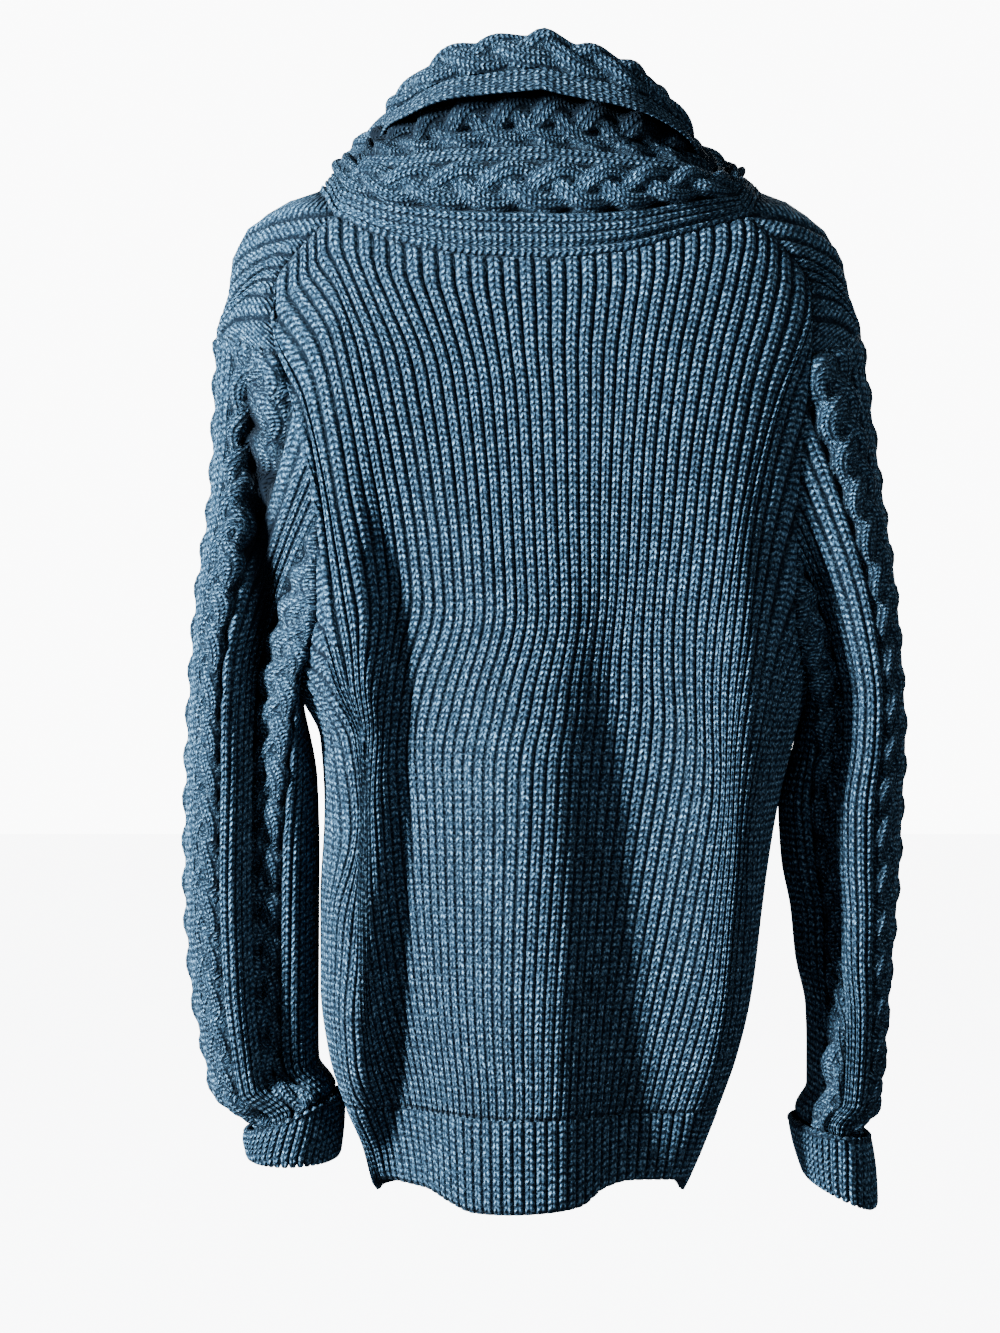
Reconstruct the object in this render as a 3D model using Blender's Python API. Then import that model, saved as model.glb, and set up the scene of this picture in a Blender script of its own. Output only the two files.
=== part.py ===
"""Shawl collar cardigan in heavy fisherman rib, hanging as if worn, with its cuffs turned up.

Metres, +Z up. The front faces -Y and the wearer's left is +X. The origin is in the middle of the neck
opening, at the height of the shoulders. Each piece is a wall of knitted cloth, lofted through sections
that come from the tables below. Neighbouring pieces share the points of their seam, a hair apart.
"""

import math

import bmesh
import bpy
import numpy as np
from mathutils import Vector

MILLIMETRE = 0.001
WALL = 0.004  # thickness of the knitted cloth
SEAM_GAP = 0.0003  # space between two pieces at their seam
LAP_GAP = 0.0008  # space between two layers that lie on each other
BUTTON_GAP = 0.0006  # space between a button and its band
HEM_LINE_Z = -0.668  # where the back and the fronts are joined to the hem rib
HEM_Z = -0.735  # lower edge of the hem rib in front
V_POINT_Z = -0.300  # where the collar ends and the fastened bands begin
CUFF_SEAM = 0.006  # how far below the turned-up edge the sleeve ends inside it
CUFF_FOLD = 0.008  # height of the rounded fold at the cuff's lower edge
BAND_WIDTH = 0.035
BAND_LAP = 0.004  # how far the top band reaches over the front beside it
BUTTON_RADIUS = 0.0105
BUTTON_THICKNESS = 0.0040
BUTTON_RIM = 0.0020
BUTTON_DISH = 0.0010
BUTTON_FIRST_Z = -0.335
BUTTON_LAST_Z = -0.703
BUTTONS = 5
BUTTON_SIDES = 16
SHOULDER_COLUMNS = 8  # cells of a front across, and of the back down each shoulder seam
NECK_COLUMNS = 22  # cells of the back across, from one side of the neck to the other
ARMHOLE_ROWS = 8  # cells down one side of an armhole
HEAD_ROWS = 4  # cells of a front over the shoulder
SIDE_ROWS = 8  # cells from the underarm to the hem rib
NECK_ROWS = 6  # cells of a front down the neck to the point of the V
BAND_ROWS = ARMHOLE_ROWS + SIDE_ROWS - NECK_ROWS
HEM_ROWS = 2
BAND_COLUMNS = 2
ARMHOLE_FLATTENING = 0.48  # an armhole's height against its width in the sleeve's turns
SLEEVE_ROWS = 12
COLLAR_ROWS = 9
DIAGONAL = Vector((0.31, 0.17, 1.0))  # orders the two ends of a seam's edge, whichever piece it is on
NAVY = (0.055, 0.085, 0.125, 1.0)
RIB_NAVY = (0.05, 0.078, 0.115, 1.0)
HORN = (0.03, 0.025, 0.022, 1.0)


def table(columns, rows):
    """A short table: its column names, and an array for each of them."""
    return dict(zip(columns.split(), np.array(rows, float).T))


# Half widths and depths of the body at each height. A square of 2 is an ellipse, and more is boxier.
BODY = table(
    "z left right back front square_left square_right",
    [
        (-0.760, 0.112, 0.104, 0.117, 0.120, 2.2, 2.6),
        (-0.730, 0.124, 0.108, 0.118, 0.121, 2.2, 2.7),
        (-0.700, 0.132, 0.119, 0.119, 0.122, 2.2, 2.7),
        (-0.668, 0.1455, 0.131, 0.120, 0.124, 2.2, 2.7),
        (-0.630, 0.157, 0.144, 0.121, 0.126, 2.2, 2.7),
        (-0.583, 0.163, 0.155, 0.122, 0.128, 2.2, 2.7),
        (-0.520, 0.163, 0.163, 0.122, 0.130, 2.2, 2.7),
        (-0.450, 0.160, 0.174, 0.121, 0.131, 2.2, 2.7),
        (-0.398, 0.163, 0.187, 0.120, 0.131, 2.2, 2.6),
        (-0.355, 0.184, 0.199, 0.120, 0.130, 2.3, 2.5),
        (-0.300, 0.196, 0.207, 0.119, 0.127, 2.4, 2.5),
        (-0.220, 0.202, 0.214, 0.118, 0.124, 2.4, 2.5),
        (-0.150, 0.218, 0.224, 0.116, 0.118, 2.3, 2.4),
        (-0.098, 0.240, 0.237, 0.113, 0.111, 2.2, 2.2),
        (-0.070, 0.232, 0.229, 0.110, 0.104, 2.1, 2.1),
        (-0.045, 0.229, 0.224, 0.105, 0.096, 2.0, 2.0),
        (-0.024, 0.2205, 0.2125, 0.099, 0.088, 2.0, 2.0),
        (-0.0085, 0.201, 0.194, 0.092, 0.079, 2.0, 2.0),
        (0.011, 0.162, 0.159, 0.080, 0.066, 2.0, 2.0),
        (0.040, 0.115, 0.115, 0.060, 0.050, 2.0, 2.0),
    ],
)

# The largest folds of the body. face is +1 on the back and -1 on the front. Each runs down through
# x_top, x_mid and x_low, starts at z_top, has its full depth from z_full down, and is wider towards
# one side than the other. A depth below zero is a trough, and one above zero a ridge.
FOLDS = table(
    "face x_top x_mid x_low z_top z_full width_left width_right depth",
    [
        (1, 0.128, 0.093, 0.110, -0.115, -0.330, 0.022, 0.060, -0.046),
        (1, 0.160, 0.148, 0.136, -0.250, -0.450, 0.020, 0.018, 0.014),
        (1, -0.046, -0.058, -0.066, -0.170, -0.480, 0.038, 0.066, -0.034),
        (1, -0.138, -0.149, -0.136, -0.190, -0.400, 0.044, 0.022, 0.022),
        (1, 0.080, 0.070, 0.055, -0.200, -0.440, 0.030, 0.090, 0.014),
        (-1, 0.120, 0.105, 0.092, -0.260, -0.520, 0.030, 0.030, -0.022),
        (-1, 0.075, 0.060, 0.052, -0.420, -0.640, 0.018, 0.022, 0.009),
        (-1, -0.100, -0.085, -0.070, -0.220, -0.480, 0.026, 0.034, -0.018),
        (-1, -0.140, -0.130, -0.112, -0.330, -0.600, 0.022, 0.018, 0.010),
    ],
)
FOLD_EDGE = 0.045  # depth of the body over which its folds fade out at the side seams
FOLD_CENTRE = 0.030  # half width of the bands, which stay flat

# The hem rib's lower edge behind, higher where a fold draws it in.
HEM_EDGE = table(
    "x z",
    [
        (-0.125, -0.731),
        (-0.100, -0.720),
        (-0.062, -0.717),
        (-0.046, -0.720),
        (-0.028, -0.731),
        (0.000, -0.734),
        (0.050, -0.736),
        (0.068, -0.731),
        (0.085, -0.725),
        (0.108, -0.725),
        (0.130, -0.731),
    ],
)

# The seams on the left half, as places across and up the body. side is +1 behind and -1 in front.
SHOULDER_SEAM = table(
    "x z side",
    [
        (0.149, -0.016, 1),
        (0.174, -0.038, 1),
        (0.194, -0.064, 1),
        (0.195, -0.092, 1),
        (0.192, -0.120, 1),
    ],
)
SLEEVE_HEAD = table(
    "x z side",
    [
        (0.192, -0.120, 1),
        (0.217, -0.108, 1),
        (0.238, -0.096, 0),
        (0.213, -0.108, -1),
        (0.186, -0.124, -1),
    ],
)
ARMHOLE_BACK = table(
    "x z side",
    [
        (0.192, -0.120, 1),
        (0.181, -0.152, 1),
        (0.167, -0.190, 1),
        (0.163, -0.250, 1),
        (0.163, -0.300, 1),
        (0.171, -0.334, 1),
        (0.184, -0.355, 0),
    ],
)
ARMHOLE_FRONT = table(
    "x z side",
    [
        (0.186, -0.124, -1),
        (0.172, -0.155, -1),
        (0.160, -0.200, -1),
        (0.156, -0.250, -1),
        (0.160, -0.300, -1),
        (0.171, -0.336, -1),
        (0.184, -0.355, 0),
    ],
)
# On the right the armhole lies further out.
RIGHT_SHIFT = table(
    "z shift",
    [
        (-0.400, 0.015),
        (-0.355, 0.015),
        (-0.310, 0.022),
        (-0.200, 0.022),
        (-0.150, 0.012),
        (-0.120, 0.004),
        (-0.060, 0.001),
        (-0.016, 0.000),
    ],
)
NECK_BACK = table(
    "x z",
    [
        (0.102, -0.038),
        (0.045, -0.049),
        (-0.005, -0.051),
        (-0.055, -0.0465),
        (-0.106, -0.031),
    ],
)
NECK_SIDE = table(
    "x z side",
    [
        (0.149, -0.016, 1),
        (0.158, 0.000, 1),
        (0.161, 0.011, 0),
        (0.150, 0.000, -1),
        (0.134, -0.024, -1),
    ],
)
NECK_FRONT = table(
    "x z side",
    [
        (0.134, -0.024, -1),
        (0.116, -0.060, -1),
        (0.092, -0.120, -1),
        (0.064, -0.190, -1),
        (0.036, -0.255, -1),
        (0.0175, -0.300, -1),
    ],
)

# The sleeves: how far each face lies from the middle of the body, at each height.
SLEEVE_LEFT = table(
    "z outer inner back front",
    [
        (-0.710, 0.213, 0.156, 0.043, -0.071),
        (-0.695, 0.217, 0.157, 0.045, -0.073),
        (-0.682, 0.234, 0.160, 0.050, -0.078),
        (-0.665, 0.243, 0.163, 0.055, -0.082),
        (-0.630, 0.251, 0.167, 0.060, -0.084),
        (-0.577, 0.260, 0.1665, 0.064, -0.084),
        (-0.500, 0.264, 0.166, 0.069, -0.082),
        (-0.430, 0.263, 0.1655, 0.073, -0.081),
        (-0.380, 0.261, 0.171, 0.076, -0.081),
        (-0.340, 0.2585, 0.177, 0.077, -0.081),
        (-0.300, 0.2555, 0.172, 0.078, -0.080),
        (-0.200, 0.243, 0.160, 0.076, -0.076),
        (-0.090, 0.239, 0.156, 0.070, -0.068),
    ],
)
SLEEVE_RIGHT = table(
    "z outer inner back front",
    [
        (-0.720, 0.240, 0.197, 0.044, -0.076),
        (-0.700, 0.245, 0.197, 0.048, -0.080),
        (-0.673, 0.250, 0.200, 0.056, -0.086),
        (-0.655, 0.2535, 0.201, 0.058, -0.087),
        (-0.630, 0.256, 0.201, 0.060, -0.088),
        (-0.600, 0.258, 0.200, 0.063, -0.088),
        (-0.562, 0.261, 0.192, 0.066, -0.086),
        (-0.525, 0.264, 0.188, 0.069, -0.085),
        (-0.488, 0.2665, 0.181, 0.071, -0.083),
        (-0.450, 0.268, 0.179, 0.073, -0.082),
        (-0.400, 0.270, 0.192, 0.076, -0.081),
        (-0.355, 0.268, 0.202, 0.078, -0.081),
        (-0.300, 0.264, 0.200, 0.079, -0.080),
        (-0.200, 0.251, 0.186, 0.077, -0.076),
        (-0.090, 0.238, 0.160, 0.070, -0.068),
    ],
)
# The largest folds of the sleeves. turn is measured from the outer face (0) round the back (90).
SLEEVE_FOLDS = table(
    "side turn_top turn_low z_top z_full z_fade z_end width_out width_in depth",
    [
        (1, 84, 114, -0.120, -0.190, -0.620, -0.700, 22, 26, -0.023),
        (1, 250, 235, -0.200, -0.330, -0.560, -0.650, 30, 24, -0.012),
        (-1, 112, 122, -0.200, -0.300, -0.520, -0.640, 22, 30, -0.022),
        (-1, 262, 244, -0.240, -0.330, -0.520, -0.620, 26, 30, -0.013),
    ],
)
# A long hollow down the back of the left sleeve: where it runs and how deep and wide it is at each height.
SLEEVE_HOLLOW = table(
    "z x depth outer inner",
    [
        (-0.420, 0.2060, 0.000, 0.012, 0.015),
        (-0.360, 0.2080, 0.008, 0.012, 0.015),
        (-0.297, 0.2040, 0.019, 0.013, 0.017),
        (-0.224, 0.2080, 0.024, 0.013, 0.016),
        (-0.175, 0.2110, 0.021, 0.012, 0.012),
        (-0.140, 0.2110, 0.010, 0.010, 0.008),
        (-0.118, 0.2100, 0.000, 0.009, 0.008),
    ],
)
BAG_TOP = 0.024  # heights above the cuff's edge between which the sleeve bags over it
BAG_END = 0.003
SLEEVE_ENDS = (0.014, 0.0025, -CUFF_SEAM + SEAM_GAP)  # the sleeve's last rows above the cuff's edge
ARMHOLE_BLEND = 0.50  # part of the sleeve over which the armhole's shape turns into the sleeve's own
# Each cuff: its middle at the turned-up edge, half width and half depth, how far its top is wider, how
# far its foot leans outwards, and the heights of its folded lower edge and of its turned-up edge, on the
# outer and on the inner side.
CUFFS = table(
    "side x y half_width half_depth flare lean bottom_outer bottom_inner top_outer top_inner",
    [
        (1, 0.185, -0.014, 0.0285, 0.057, 0.002, 0.000, -0.712, -0.711, -0.691, -0.662),
        (-1, 0.217, -0.016, 0.0205, 0.060, 0.003, 0.008, -0.748, -0.727, -0.694, -0.683),
    ],
)

# The collar's section from the neck seam to its free edge, at places from the middle of the back (0) to
# the point of the V (1). The seam is the origin of each section, which goes through six more knots, in
# millimetres: out is away from the neck, and up is along the neck, or off the chest where lying is 1.
# turn is the direction of out at the back and the sides.
COLLAR = table(
    "place turn lying a_out a_up b_out b_up c_out c_up d_out d_up e_out e_up f_out f_up",
    [
        (0.00, 90, 0.0, 3, 57, -16, 86, -12, 106, -28, 148, -8, 158, 10, 118),
        (0.09, 76, 0.0, 2, 55, -18, 83, -14, 102, -30, 138, -10, 147, 7, 110),
        (0.18, 56, 0.0, -2, 44, -26, 68, -27, 84, -44, 106, -28, 112, -12, 86),
        (0.29, 26, 0.0, -18, 27, -40, 43, -44, 52, -62, 62, -54, 68, -43, 46),
        (0.38, 2, 0.1, -15, 14, -34, 24, -41, 30, -53, 40, -45, 45, -20, 24),
        (0.48, -24, 0.5, -14, 12, -30, 21, -37, 28, -45, 38, -26, 45, 22, 23),
        (0.62, -40, 1.0, -12, 8, -24, 14, -29, 20, -26, 29, 6, 30, 66, 16),
        (0.80, -50, 1.0, -10, 7, -18, 12, -21, 17, -17, 24, 8, 24, 52, 14),
        (1.00, -60, 1.0, -3, 6, -6, 9, -7, 12, -4, 16, 4, 18, 16, 16),
    ],
)
# On the right half the collar is this much of its height.
COLLAR_RIGHT = table(
    "place height",
    [
        (0.00, 1.00),
        (0.09, 0.93),
        (0.18, 0.84),
        (0.29, 0.68),
        (0.38, 0.66),
        (0.48, 0.84),
        (0.62, 1.00),
        (1.00, 1.00),
    ],
)


def curve(places, values, at):
    """Values on a smooth curve through the rows of a table that never overshoots them."""
    steps = np.diff(places)
    slopes = np.diff(values) / steps
    tangents = np.zeros(len(places))
    same = slopes[:-1] * slopes[1:] > 0
    weight_a = 2 * steps[1:] + steps[:-1]
    weight_b = steps[1:] + 2 * steps[:-1]
    before = np.where(same, slopes[:-1], 1.0)
    after = np.where(same, slopes[1:], 1.0)
    tangents[1:-1] = np.where(same, (weight_a + weight_b) / (weight_a / before + weight_b / after), 0.0)
    tangents[0] = slopes[0]
    tangents[-1] = slopes[-1]
    at = np.clip(at, places[0], places[-1])
    cell = np.clip(np.searchsorted(places, at) - 1, 0, len(steps) - 1)
    step = steps[cell]
    t = (at - places[cell]) / step
    rest = 1 - t
    return (
        values[cell] * rest * rest * (1 + 2 * t)
        + values[cell + 1] * t * t * (3 - 2 * t)
        + tangents[cell] * step * t * rest * rest
        - tangents[cell + 1] * step * t * t * rest
    )


def look_up(rows, column, at):
    """One column of a table at any value of the table's first column."""
    return curve(next(iter(rows.values())), rows[column], np.asarray(at, float))


def each_row(rows):
    """The rows of a table one by one, each with its columns by name."""
    for number in range(len(next(iter(rows.values())))):
        yield {name: values[number] for name, values in rows.items()}


def ease(value):
    """0 below 0, 1 above 1, and smooth between."""
    t = np.clip(value, 0.0, 1.0)
    return t * t * (3 - 2 * t)


def unit(vectors):
    return vectors / np.maximum(np.linalg.norm(vectors, axis=-1, keepdims=True), 1e-12)


def body_outline(turn, z):
    """The body's section without its folds: x and y at an angle round it, counted from +X."""
    cosine = np.cos(turn)
    sine = np.sin(turn)
    on_left = cosine >= 0
    side = np.where(on_left, look_up(BODY, "left", z), look_up(BODY, "right", z))
    depth = np.where(sine >= 0, look_up(BODY, "back", z), look_up(BODY, "front", z))
    square = np.where(on_left, look_up(BODY, "square_left", z), look_up(BODY, "square_right", z))
    reach = (np.abs(cosine / side) ** square + np.abs(sine / depth) ** square) ** (-1 / square)
    return reach * cosine, reach * sine


def fold_depth(x, y, z):
    """How far the folds move the cloth off the body, forwards or backwards."""
    moved = np.zeros(np.broadcast(x, z).shape)
    for fold in each_row(FOLDS):
        levels = np.array([HEM_Z, (HEM_Z + fold["z_top"]) / 2, fold["z_top"]])
        middle = curve(levels, np.array([fold["x_low"], fold["x_mid"], fold["x_top"]]), z)
        width = np.where(x > middle, fold["width_left"], fold["width_right"])
        strength = ease((fold["z_top"] - z) / (fold["z_top"] - fold["z_full"]))
        shape = np.exp(-(((x - middle) / width) ** 2)) * strength * fold["depth"]
        moved = moved + np.where(y * fold["face"] > 0, shape * fold["face"], 0.0)
    flat_centre = np.where(y < 0, ease((np.abs(x) - FOLD_CENTRE) / FOLD_CENTRE), 1.0)
    return moved * ease(np.abs(y) / FOLD_EDGE) * flat_centre


def body(turn, z):
    """Points of the body's outer face."""
    x, y = body_outline(turn, z)
    y = y + fold_depth(x, y, z)
    return np.stack([x, y, np.broadcast_to(z, x.shape)], axis=-1)


def body_normals(turn, z):
    """Outward directions of the body's outer face."""
    small_turn = 0.01
    small_rise = 0.001
    across = body(turn + small_turn, z) - body(turn - small_turn, z)
    upward = body(turn, z + small_rise) - body(turn, z - small_rise)
    return unit(np.cross(across, upward))


def turn_of(x, z, side):
    """The angle round the body at which its outline passes x, behind (+1) or in front (-1)."""
    low = 0.0
    high = math.pi / 2
    for _ in range(40):
        middle = (low + high) / 2
        turn = middle if x >= 0 else math.pi - middle
        if abs(float(body_outline(np.array(turn), np.array(z))[0])) > abs(x):
            low = middle
        else:
            high = middle
    angle = side * (low + high) / 2
    return angle if x >= 0 else math.pi - angle


def seam_places(rows, left, shifts=None):
    """A seam's rows as (angle, height) on one half of the body. side is 0 on the line at its side."""
    places = []
    for row in each_row(rows):
        x = row["x"]
        if not left:
            x = -x - (0.0 if shifts is None else float(look_up(shifts, "shift", row["z"])))
        if row["side"] == 0:
            turn = 0.0 if left else math.pi
        else:
            turn = turn_of(x, row["z"], row["side"])
        places.append((turn, row["z"]))
    return np.array(places)


def sampled(places, cells):
    """Evenly spaced points on a smooth curve through the places."""
    weights = np.array([0.2, 1.0])  # a radian of turn is about 0.2 m of cloth
    lengths = np.linalg.norm(np.diff(places, axis=0) * weights, axis=1)
    along = np.concatenate([[0.0], np.cumsum(lengths)])
    at = np.linspace(0, along[-1], cells + 1)
    return np.stack([curve(along, places[:, 0], at), curve(along, places[:, 1], at)], axis=-1)


def half_seams(left):
    """The seams of one half, each as (angle, height) places at the corners of the cells beside it."""
    side_turn = 0.0 if left else math.pi
    underarm_z = ARMHOLE_BACK["z"][-1]
    band_x = BAND_WIDTH / 2 if left else -BAND_WIDTH / 2
    side_z = np.linspace(underarm_z, HEM_LINE_Z, SIDE_ROWS + 1)
    band_z = np.linspace(V_POINT_Z, HEM_LINE_Z, BAND_ROWS + 1)
    return {
        "shoulder": sampled(seam_places(SHOULDER_SEAM, left, RIGHT_SHIFT), SHOULDER_COLUMNS),
        "head": sampled(seam_places(SLEEVE_HEAD, left, RIGHT_SHIFT), HEAD_ROWS),
        "armhole_back": sampled(seam_places(ARMHOLE_BACK, left, RIGHT_SHIFT), ARMHOLE_ROWS),
        "armhole_front": sampled(seam_places(ARMHOLE_FRONT, left, RIGHT_SHIFT), ARMHOLE_ROWS),
        "side": np.array([(side_turn, z) for z in side_z]),
        "neck_side": sampled(seam_places(NECK_SIDE, left), HEAD_ROWS),
        "neck_front": sampled(seam_places(NECK_FRONT, left), NECK_ROWS),
        "band": np.array([(turn_of(band_x, z, -1), z) for z in band_z]),
    }


def neck_back_seam(left, right):
    """The neck seam behind, from the left shoulder seam to the right one."""
    places = [(turn_of(row["x"], row["z"], 1), row["z"]) for row in each_row(NECK_BACK)]
    return sampled(np.array([left["shoulder"][0], *places, right["shoulder"][0]]), NECK_COLUMNS)


def joined(*parts):
    """Stretches of one line, end to end, without the points that they share."""
    return np.concatenate([parts[0]] + [part[1:] for part in parts[1:]])


def filled(top, bottom, left, right):
    """The places inside four joined edges, in rows from top to bottom."""
    across = np.linspace(0, 1, len(top))[None, :, None]
    down = np.linspace(0, 1, len(left))[:, None, None]
    corners = (
        (1 - across) * (1 - down) * top[0]
        + across * (1 - down) * top[-1]
        + (1 - across) * down * bottom[0]
        + across * down * bottom[-1]
    )
    between_rows = (1 - down) * top[None] + down * bottom[None]
    between_columns = (1 - across) * left[:, None] + across * right[:, None]
    return between_rows + between_columns - corners


def hem_heights(turn, down):
    """Heights in the hem rib, from its seam (0) to its lower edge (1), at angles round the body."""
    x = body_outline(turn, np.full(turn.shape, HEM_Z))[0]
    behind = ease(np.sin(turn) / 0.3)
    edge = look_up(HEM_EDGE, "z", x) * behind + HEM_Z * (1 - behind)
    return HEM_LINE_Z + (edge - HEM_LINE_Z) * down


def knit_material(name, colour, roughness=0.9):
    material = bpy.data.materials.new(name)
    material.use_nodes = True
    shader = material.node_tree.nodes["Principled BSDF"]
    shader.inputs["Base Color"].default_value = colour
    shader.inputs["Roughness"].default_value = roughness
    shader.inputs["Metallic"].default_value = 0.0
    return material


def add_object(name, bm, material, location=(0, 0, 0), rotation=None):
    bmesh.ops.recalc_face_normals(bm, faces=bm.faces[:])
    mesh = bpy.data.meshes.new(name)
    bm.to_mesh(mesh)
    bm.free()
    mesh.materials.append(material)
    mesh.shade_smooth()
    mesh.set_sharp_from_angle(angle=math.radians(50))
    obj = bpy.data.objects.new(name, mesh)
    obj.location = location
    if rotation is not None:
        obj.rotation_euler = rotation
    bpy.context.scene.collection.objects.link(obj)
    return obj


def cloth_wall(name, outer, inner, material, tube=False):
    """A wall between two grids of points, closed along its edges. A tube's rows run right round."""
    rows, columns = outer.shape[:2]
    bm = bmesh.new()
    faces = []
    for points in (outer, inner):
        faces.append([[bm.verts.new(point) for point in row] for row in points])
    around = columns if tube else columns - 1
    for row in range(rows - 1):
        for column in range(around):
            after = (column + 1) % columns
            corners = ((row, column), (row, after), (row + 1, after), (row + 1, column))
            a, b, c, d = (outer[corner] for corner in corners)
            # Both faces of the wall are split along the same diagonal, the shorter one outside.
            if np.linalg.norm(a - c) < np.linalg.norm(b - d):
                triangles = ((0, 1, 2), (0, 2, 3))
            else:
                triangles = ((0, 1, 3), (1, 2, 3))
            for vertices in faces:
                for triangle in triangles:
                    places = (corners[number] for number in triangle)
                    bm.faces.new([vertices[at_row][at_column] for at_row, at_column in places])
    loops = []
    if tube:
        for row in (0, rows - 1):
            loops.append([(row, column) for column in range(columns)] + [(row, 0)])
    else:
        top = [(0, column) for column in range(columns)]
        right = [(row, columns - 1) for row in range(1, rows)]
        bottom = [(rows - 1, column) for column in range(columns - 2, -1, -1)]
        left = [(row, 0) for row in range(rows - 2, -1, -1)]
        loops.append(top + right + bottom + left)
    for loop in loops:
        for (row_a, column_a), (row_b, column_b) in zip(loop, loop[1:]):
            face_a, face_b = (faces[0][row_a][column_a], faces[0][row_b][column_b])
            under_a, under_b = (faces[1][row_a][column_a], faces[1][row_b][column_b])
            # Both pieces at a seam split its twisted faces along the same diagonal.
            if face_a.co.dot(DIAGONAL) < face_b.co.dot(DIAGONAL):
                triangles = ((face_a, face_b, under_b), (face_a, under_b, under_a))
            else:
                triangles = ((face_a, face_b, under_a), (face_b, under_b, under_a))
            for triangle in triangles:
                bm.faces.new(triangle)
    return add_object(name, bm, material)


def apart(edge, under, beside, beside_under, ring):
    """Half the gap at a seam, square to the seam's face and towards the piece."""
    wall = edge - under
    into = beside + beside_under - edge - under
    if ring:
        edge, wall, into = (np.concatenate([line, line[:1]]) for line in (edge, wall, into))
    square = unit(np.cross(np.diff(edge, axis=0), wall[1:] + wall[:-1]))
    square = square * np.sign((square * (into[1:] + into[:-1])).sum(axis=-1, keepdims=True))
    if ring:
        return unit(square + np.roll(square, 1, axis=0)) * SEAM_GAP / 2
    shift = np.concatenate([square[:1], square])
    shift[:-1] += square
    return unit(shift) * SEAM_GAP / 2


def pulled_in(outer, inner, tube=False, ends=(True, True)):
    """Both faces of a wall with their edge points moved in by half the gap at a seam."""
    moved = (outer.copy(), inner.copy())
    edges = [((0,), (1,), ends[0]), ((-1,), (-2,), ends[1])]
    if not tube:
        every = slice(None)
        edges += [((every, 0), (every, 1), True), ((every, -1), (every, -2), True)]
    for edge, beside, wanted in edges:
        if wanted:
            shift = apart(outer[edge], inner[edge], outer[beside], inner[beside], tube)
            for points in moved:
                points[edge] += shift
    return moved


def panel(name, places, material, normals=None):
    """A panel of the body from its places on it. normals are given where another piece shares them."""
    outer = body(places[..., 0], places[..., 1])
    if normals is None:
        normals = body_normals(places[..., 0], places[..., 1])
    inner = outer - normals * WALL
    return cloth_wall(name, *pulled_in(outer, inner), material)


def armhole_ring(seams):
    """The armhole as one closed line: from the underarm up the back, over the shoulder, down the front."""
    back = seams["armhole_back"][::-1]
    return joined(back, seams["head"], seams["armhole_front"])[:-1]


def sleeve_sides(left):
    return (SLEEVE_LEFT, 1.0) if left else (SLEEVE_RIGHT, -1.0)


def sleeve_point(left, turn, z):
    """Points of a sleeve's outer face. turn goes from its outer face round its back."""
    rows, sign = sleeve_sides(left)
    outer = look_up(rows, "outer", z)
    inner = look_up(rows, "inner", z)
    back = look_up(rows, "back", z)
    front = look_up(rows, "front", z)
    reach = np.ones(np.broadcast(turn, z).shape)
    radius = (outer - inner) / 2
    for fold in each_row(SLEEVE_FOLDS):
        if fold["side"] != sign:
            continue
        part = (z - SLEEVE_HEAD["z"][2]) / (fold["z_end"] - SLEEVE_HEAD["z"][2])
        middle = fold["turn_top"] + (fold["turn_low"] - fold["turn_top"]) * np.clip(part, 0, 1)
        off = np.degrees(turn) - middle
        off = (off + 180) % 360 - 180
        width = np.where(off < 0, fold["width_out"], fold["width_in"])
        strength = ease((fold["z_top"] - z) / (fold["z_top"] - fold["z_full"]))
        strength = strength * ease((z - fold["z_end"]) / (fold["z_fade"] - fold["z_end"]))
        reach = reach + np.exp(-((off / width) ** 2)) * strength * fold["depth"] / radius
    x = (outer + inner) / 2 + radius * reach * np.cos(turn)
    y = (back + front) / 2 + (back - front) / 2 * reach * np.sin(turn)
    return np.stack([sign * x, y, np.broadcast_to(z, x.shape)], axis=-1)


def hollowed(left, points, down):
    """Draws the back of the left sleeve in along its long hollow. down is 0 at the armhole seam."""
    if not left:
        return points
    x, y, z = (points[..., axis] for axis in range(3))
    off = x - look_up(SLEEVE_HOLLOW, "x", z)
    width = np.where(off > 0, look_up(SLEEVE_HOLLOW, "outer", z), look_up(SLEEVE_HOLLOW, "inner", z))
    depth = look_up(SLEEVE_HOLLOW, "depth", z) * np.exp(-((off / width) ** 2))
    depth = depth * ease(y / 0.03) * ease(down / 0.05)
    return np.stack([x, y - depth, z], axis=-1)


def cuff_row(left):
    return next(row for row in each_row(CUFFS) if row["side"] == (1 if left else -1))


def cuff_edge(cuff, name, turn):
    """The height of an edge of a cuff at a turn round it, between its outer and its inner side."""
    outer = cuff[name + "_outer"]
    inner = cuff[name + "_inner"]
    return (outer + inner) / 2 + (outer - inner) / 2 * np.cos(turn)


def cuff_point(left, turn, z, off):
    """A point of a cuff: turn round it, its height, and how far it lies off the sleeve's line."""
    cuff = cuff_row(left)
    part = (z - cuff_edge(cuff, "bottom", turn)) / (cuff["top_inner"] - cuff["bottom_inner"])
    wider = cuff["flare"] * part + off
    middle = cuff["x"] + cuff["lean"] * (1 - part)
    x = middle + (cuff["half_width"] + wider) * np.cos(turn)
    y = cuff["y"] + (cuff["half_depth"] + wider) * np.sin(turn)
    return np.stack([cuff["side"] * x, y, z], axis=-1)


def cuff_seam_z(left, turn):
    return cuff_edge(cuff_row(left), "top", turn) - CUFF_SEAM


def ring_turns(ring, left):
    """The turn round the sleeve that each point of the armhole continues."""
    points = body(ring[:, 0], ring[:, 1])
    middle_z = (SLEEVE_HEAD["z"][2] + ARMHOLE_BACK["z"][-1]) / 2
    # Seen along the armhole, the shoulder's top leads to the outer face and the underarm to the inner.
    angle = np.arctan2(points[:, 1], (points[:, 2] - middle_z) * ARMHOLE_FLATTENING)
    return np.unwrap(angle)


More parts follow.
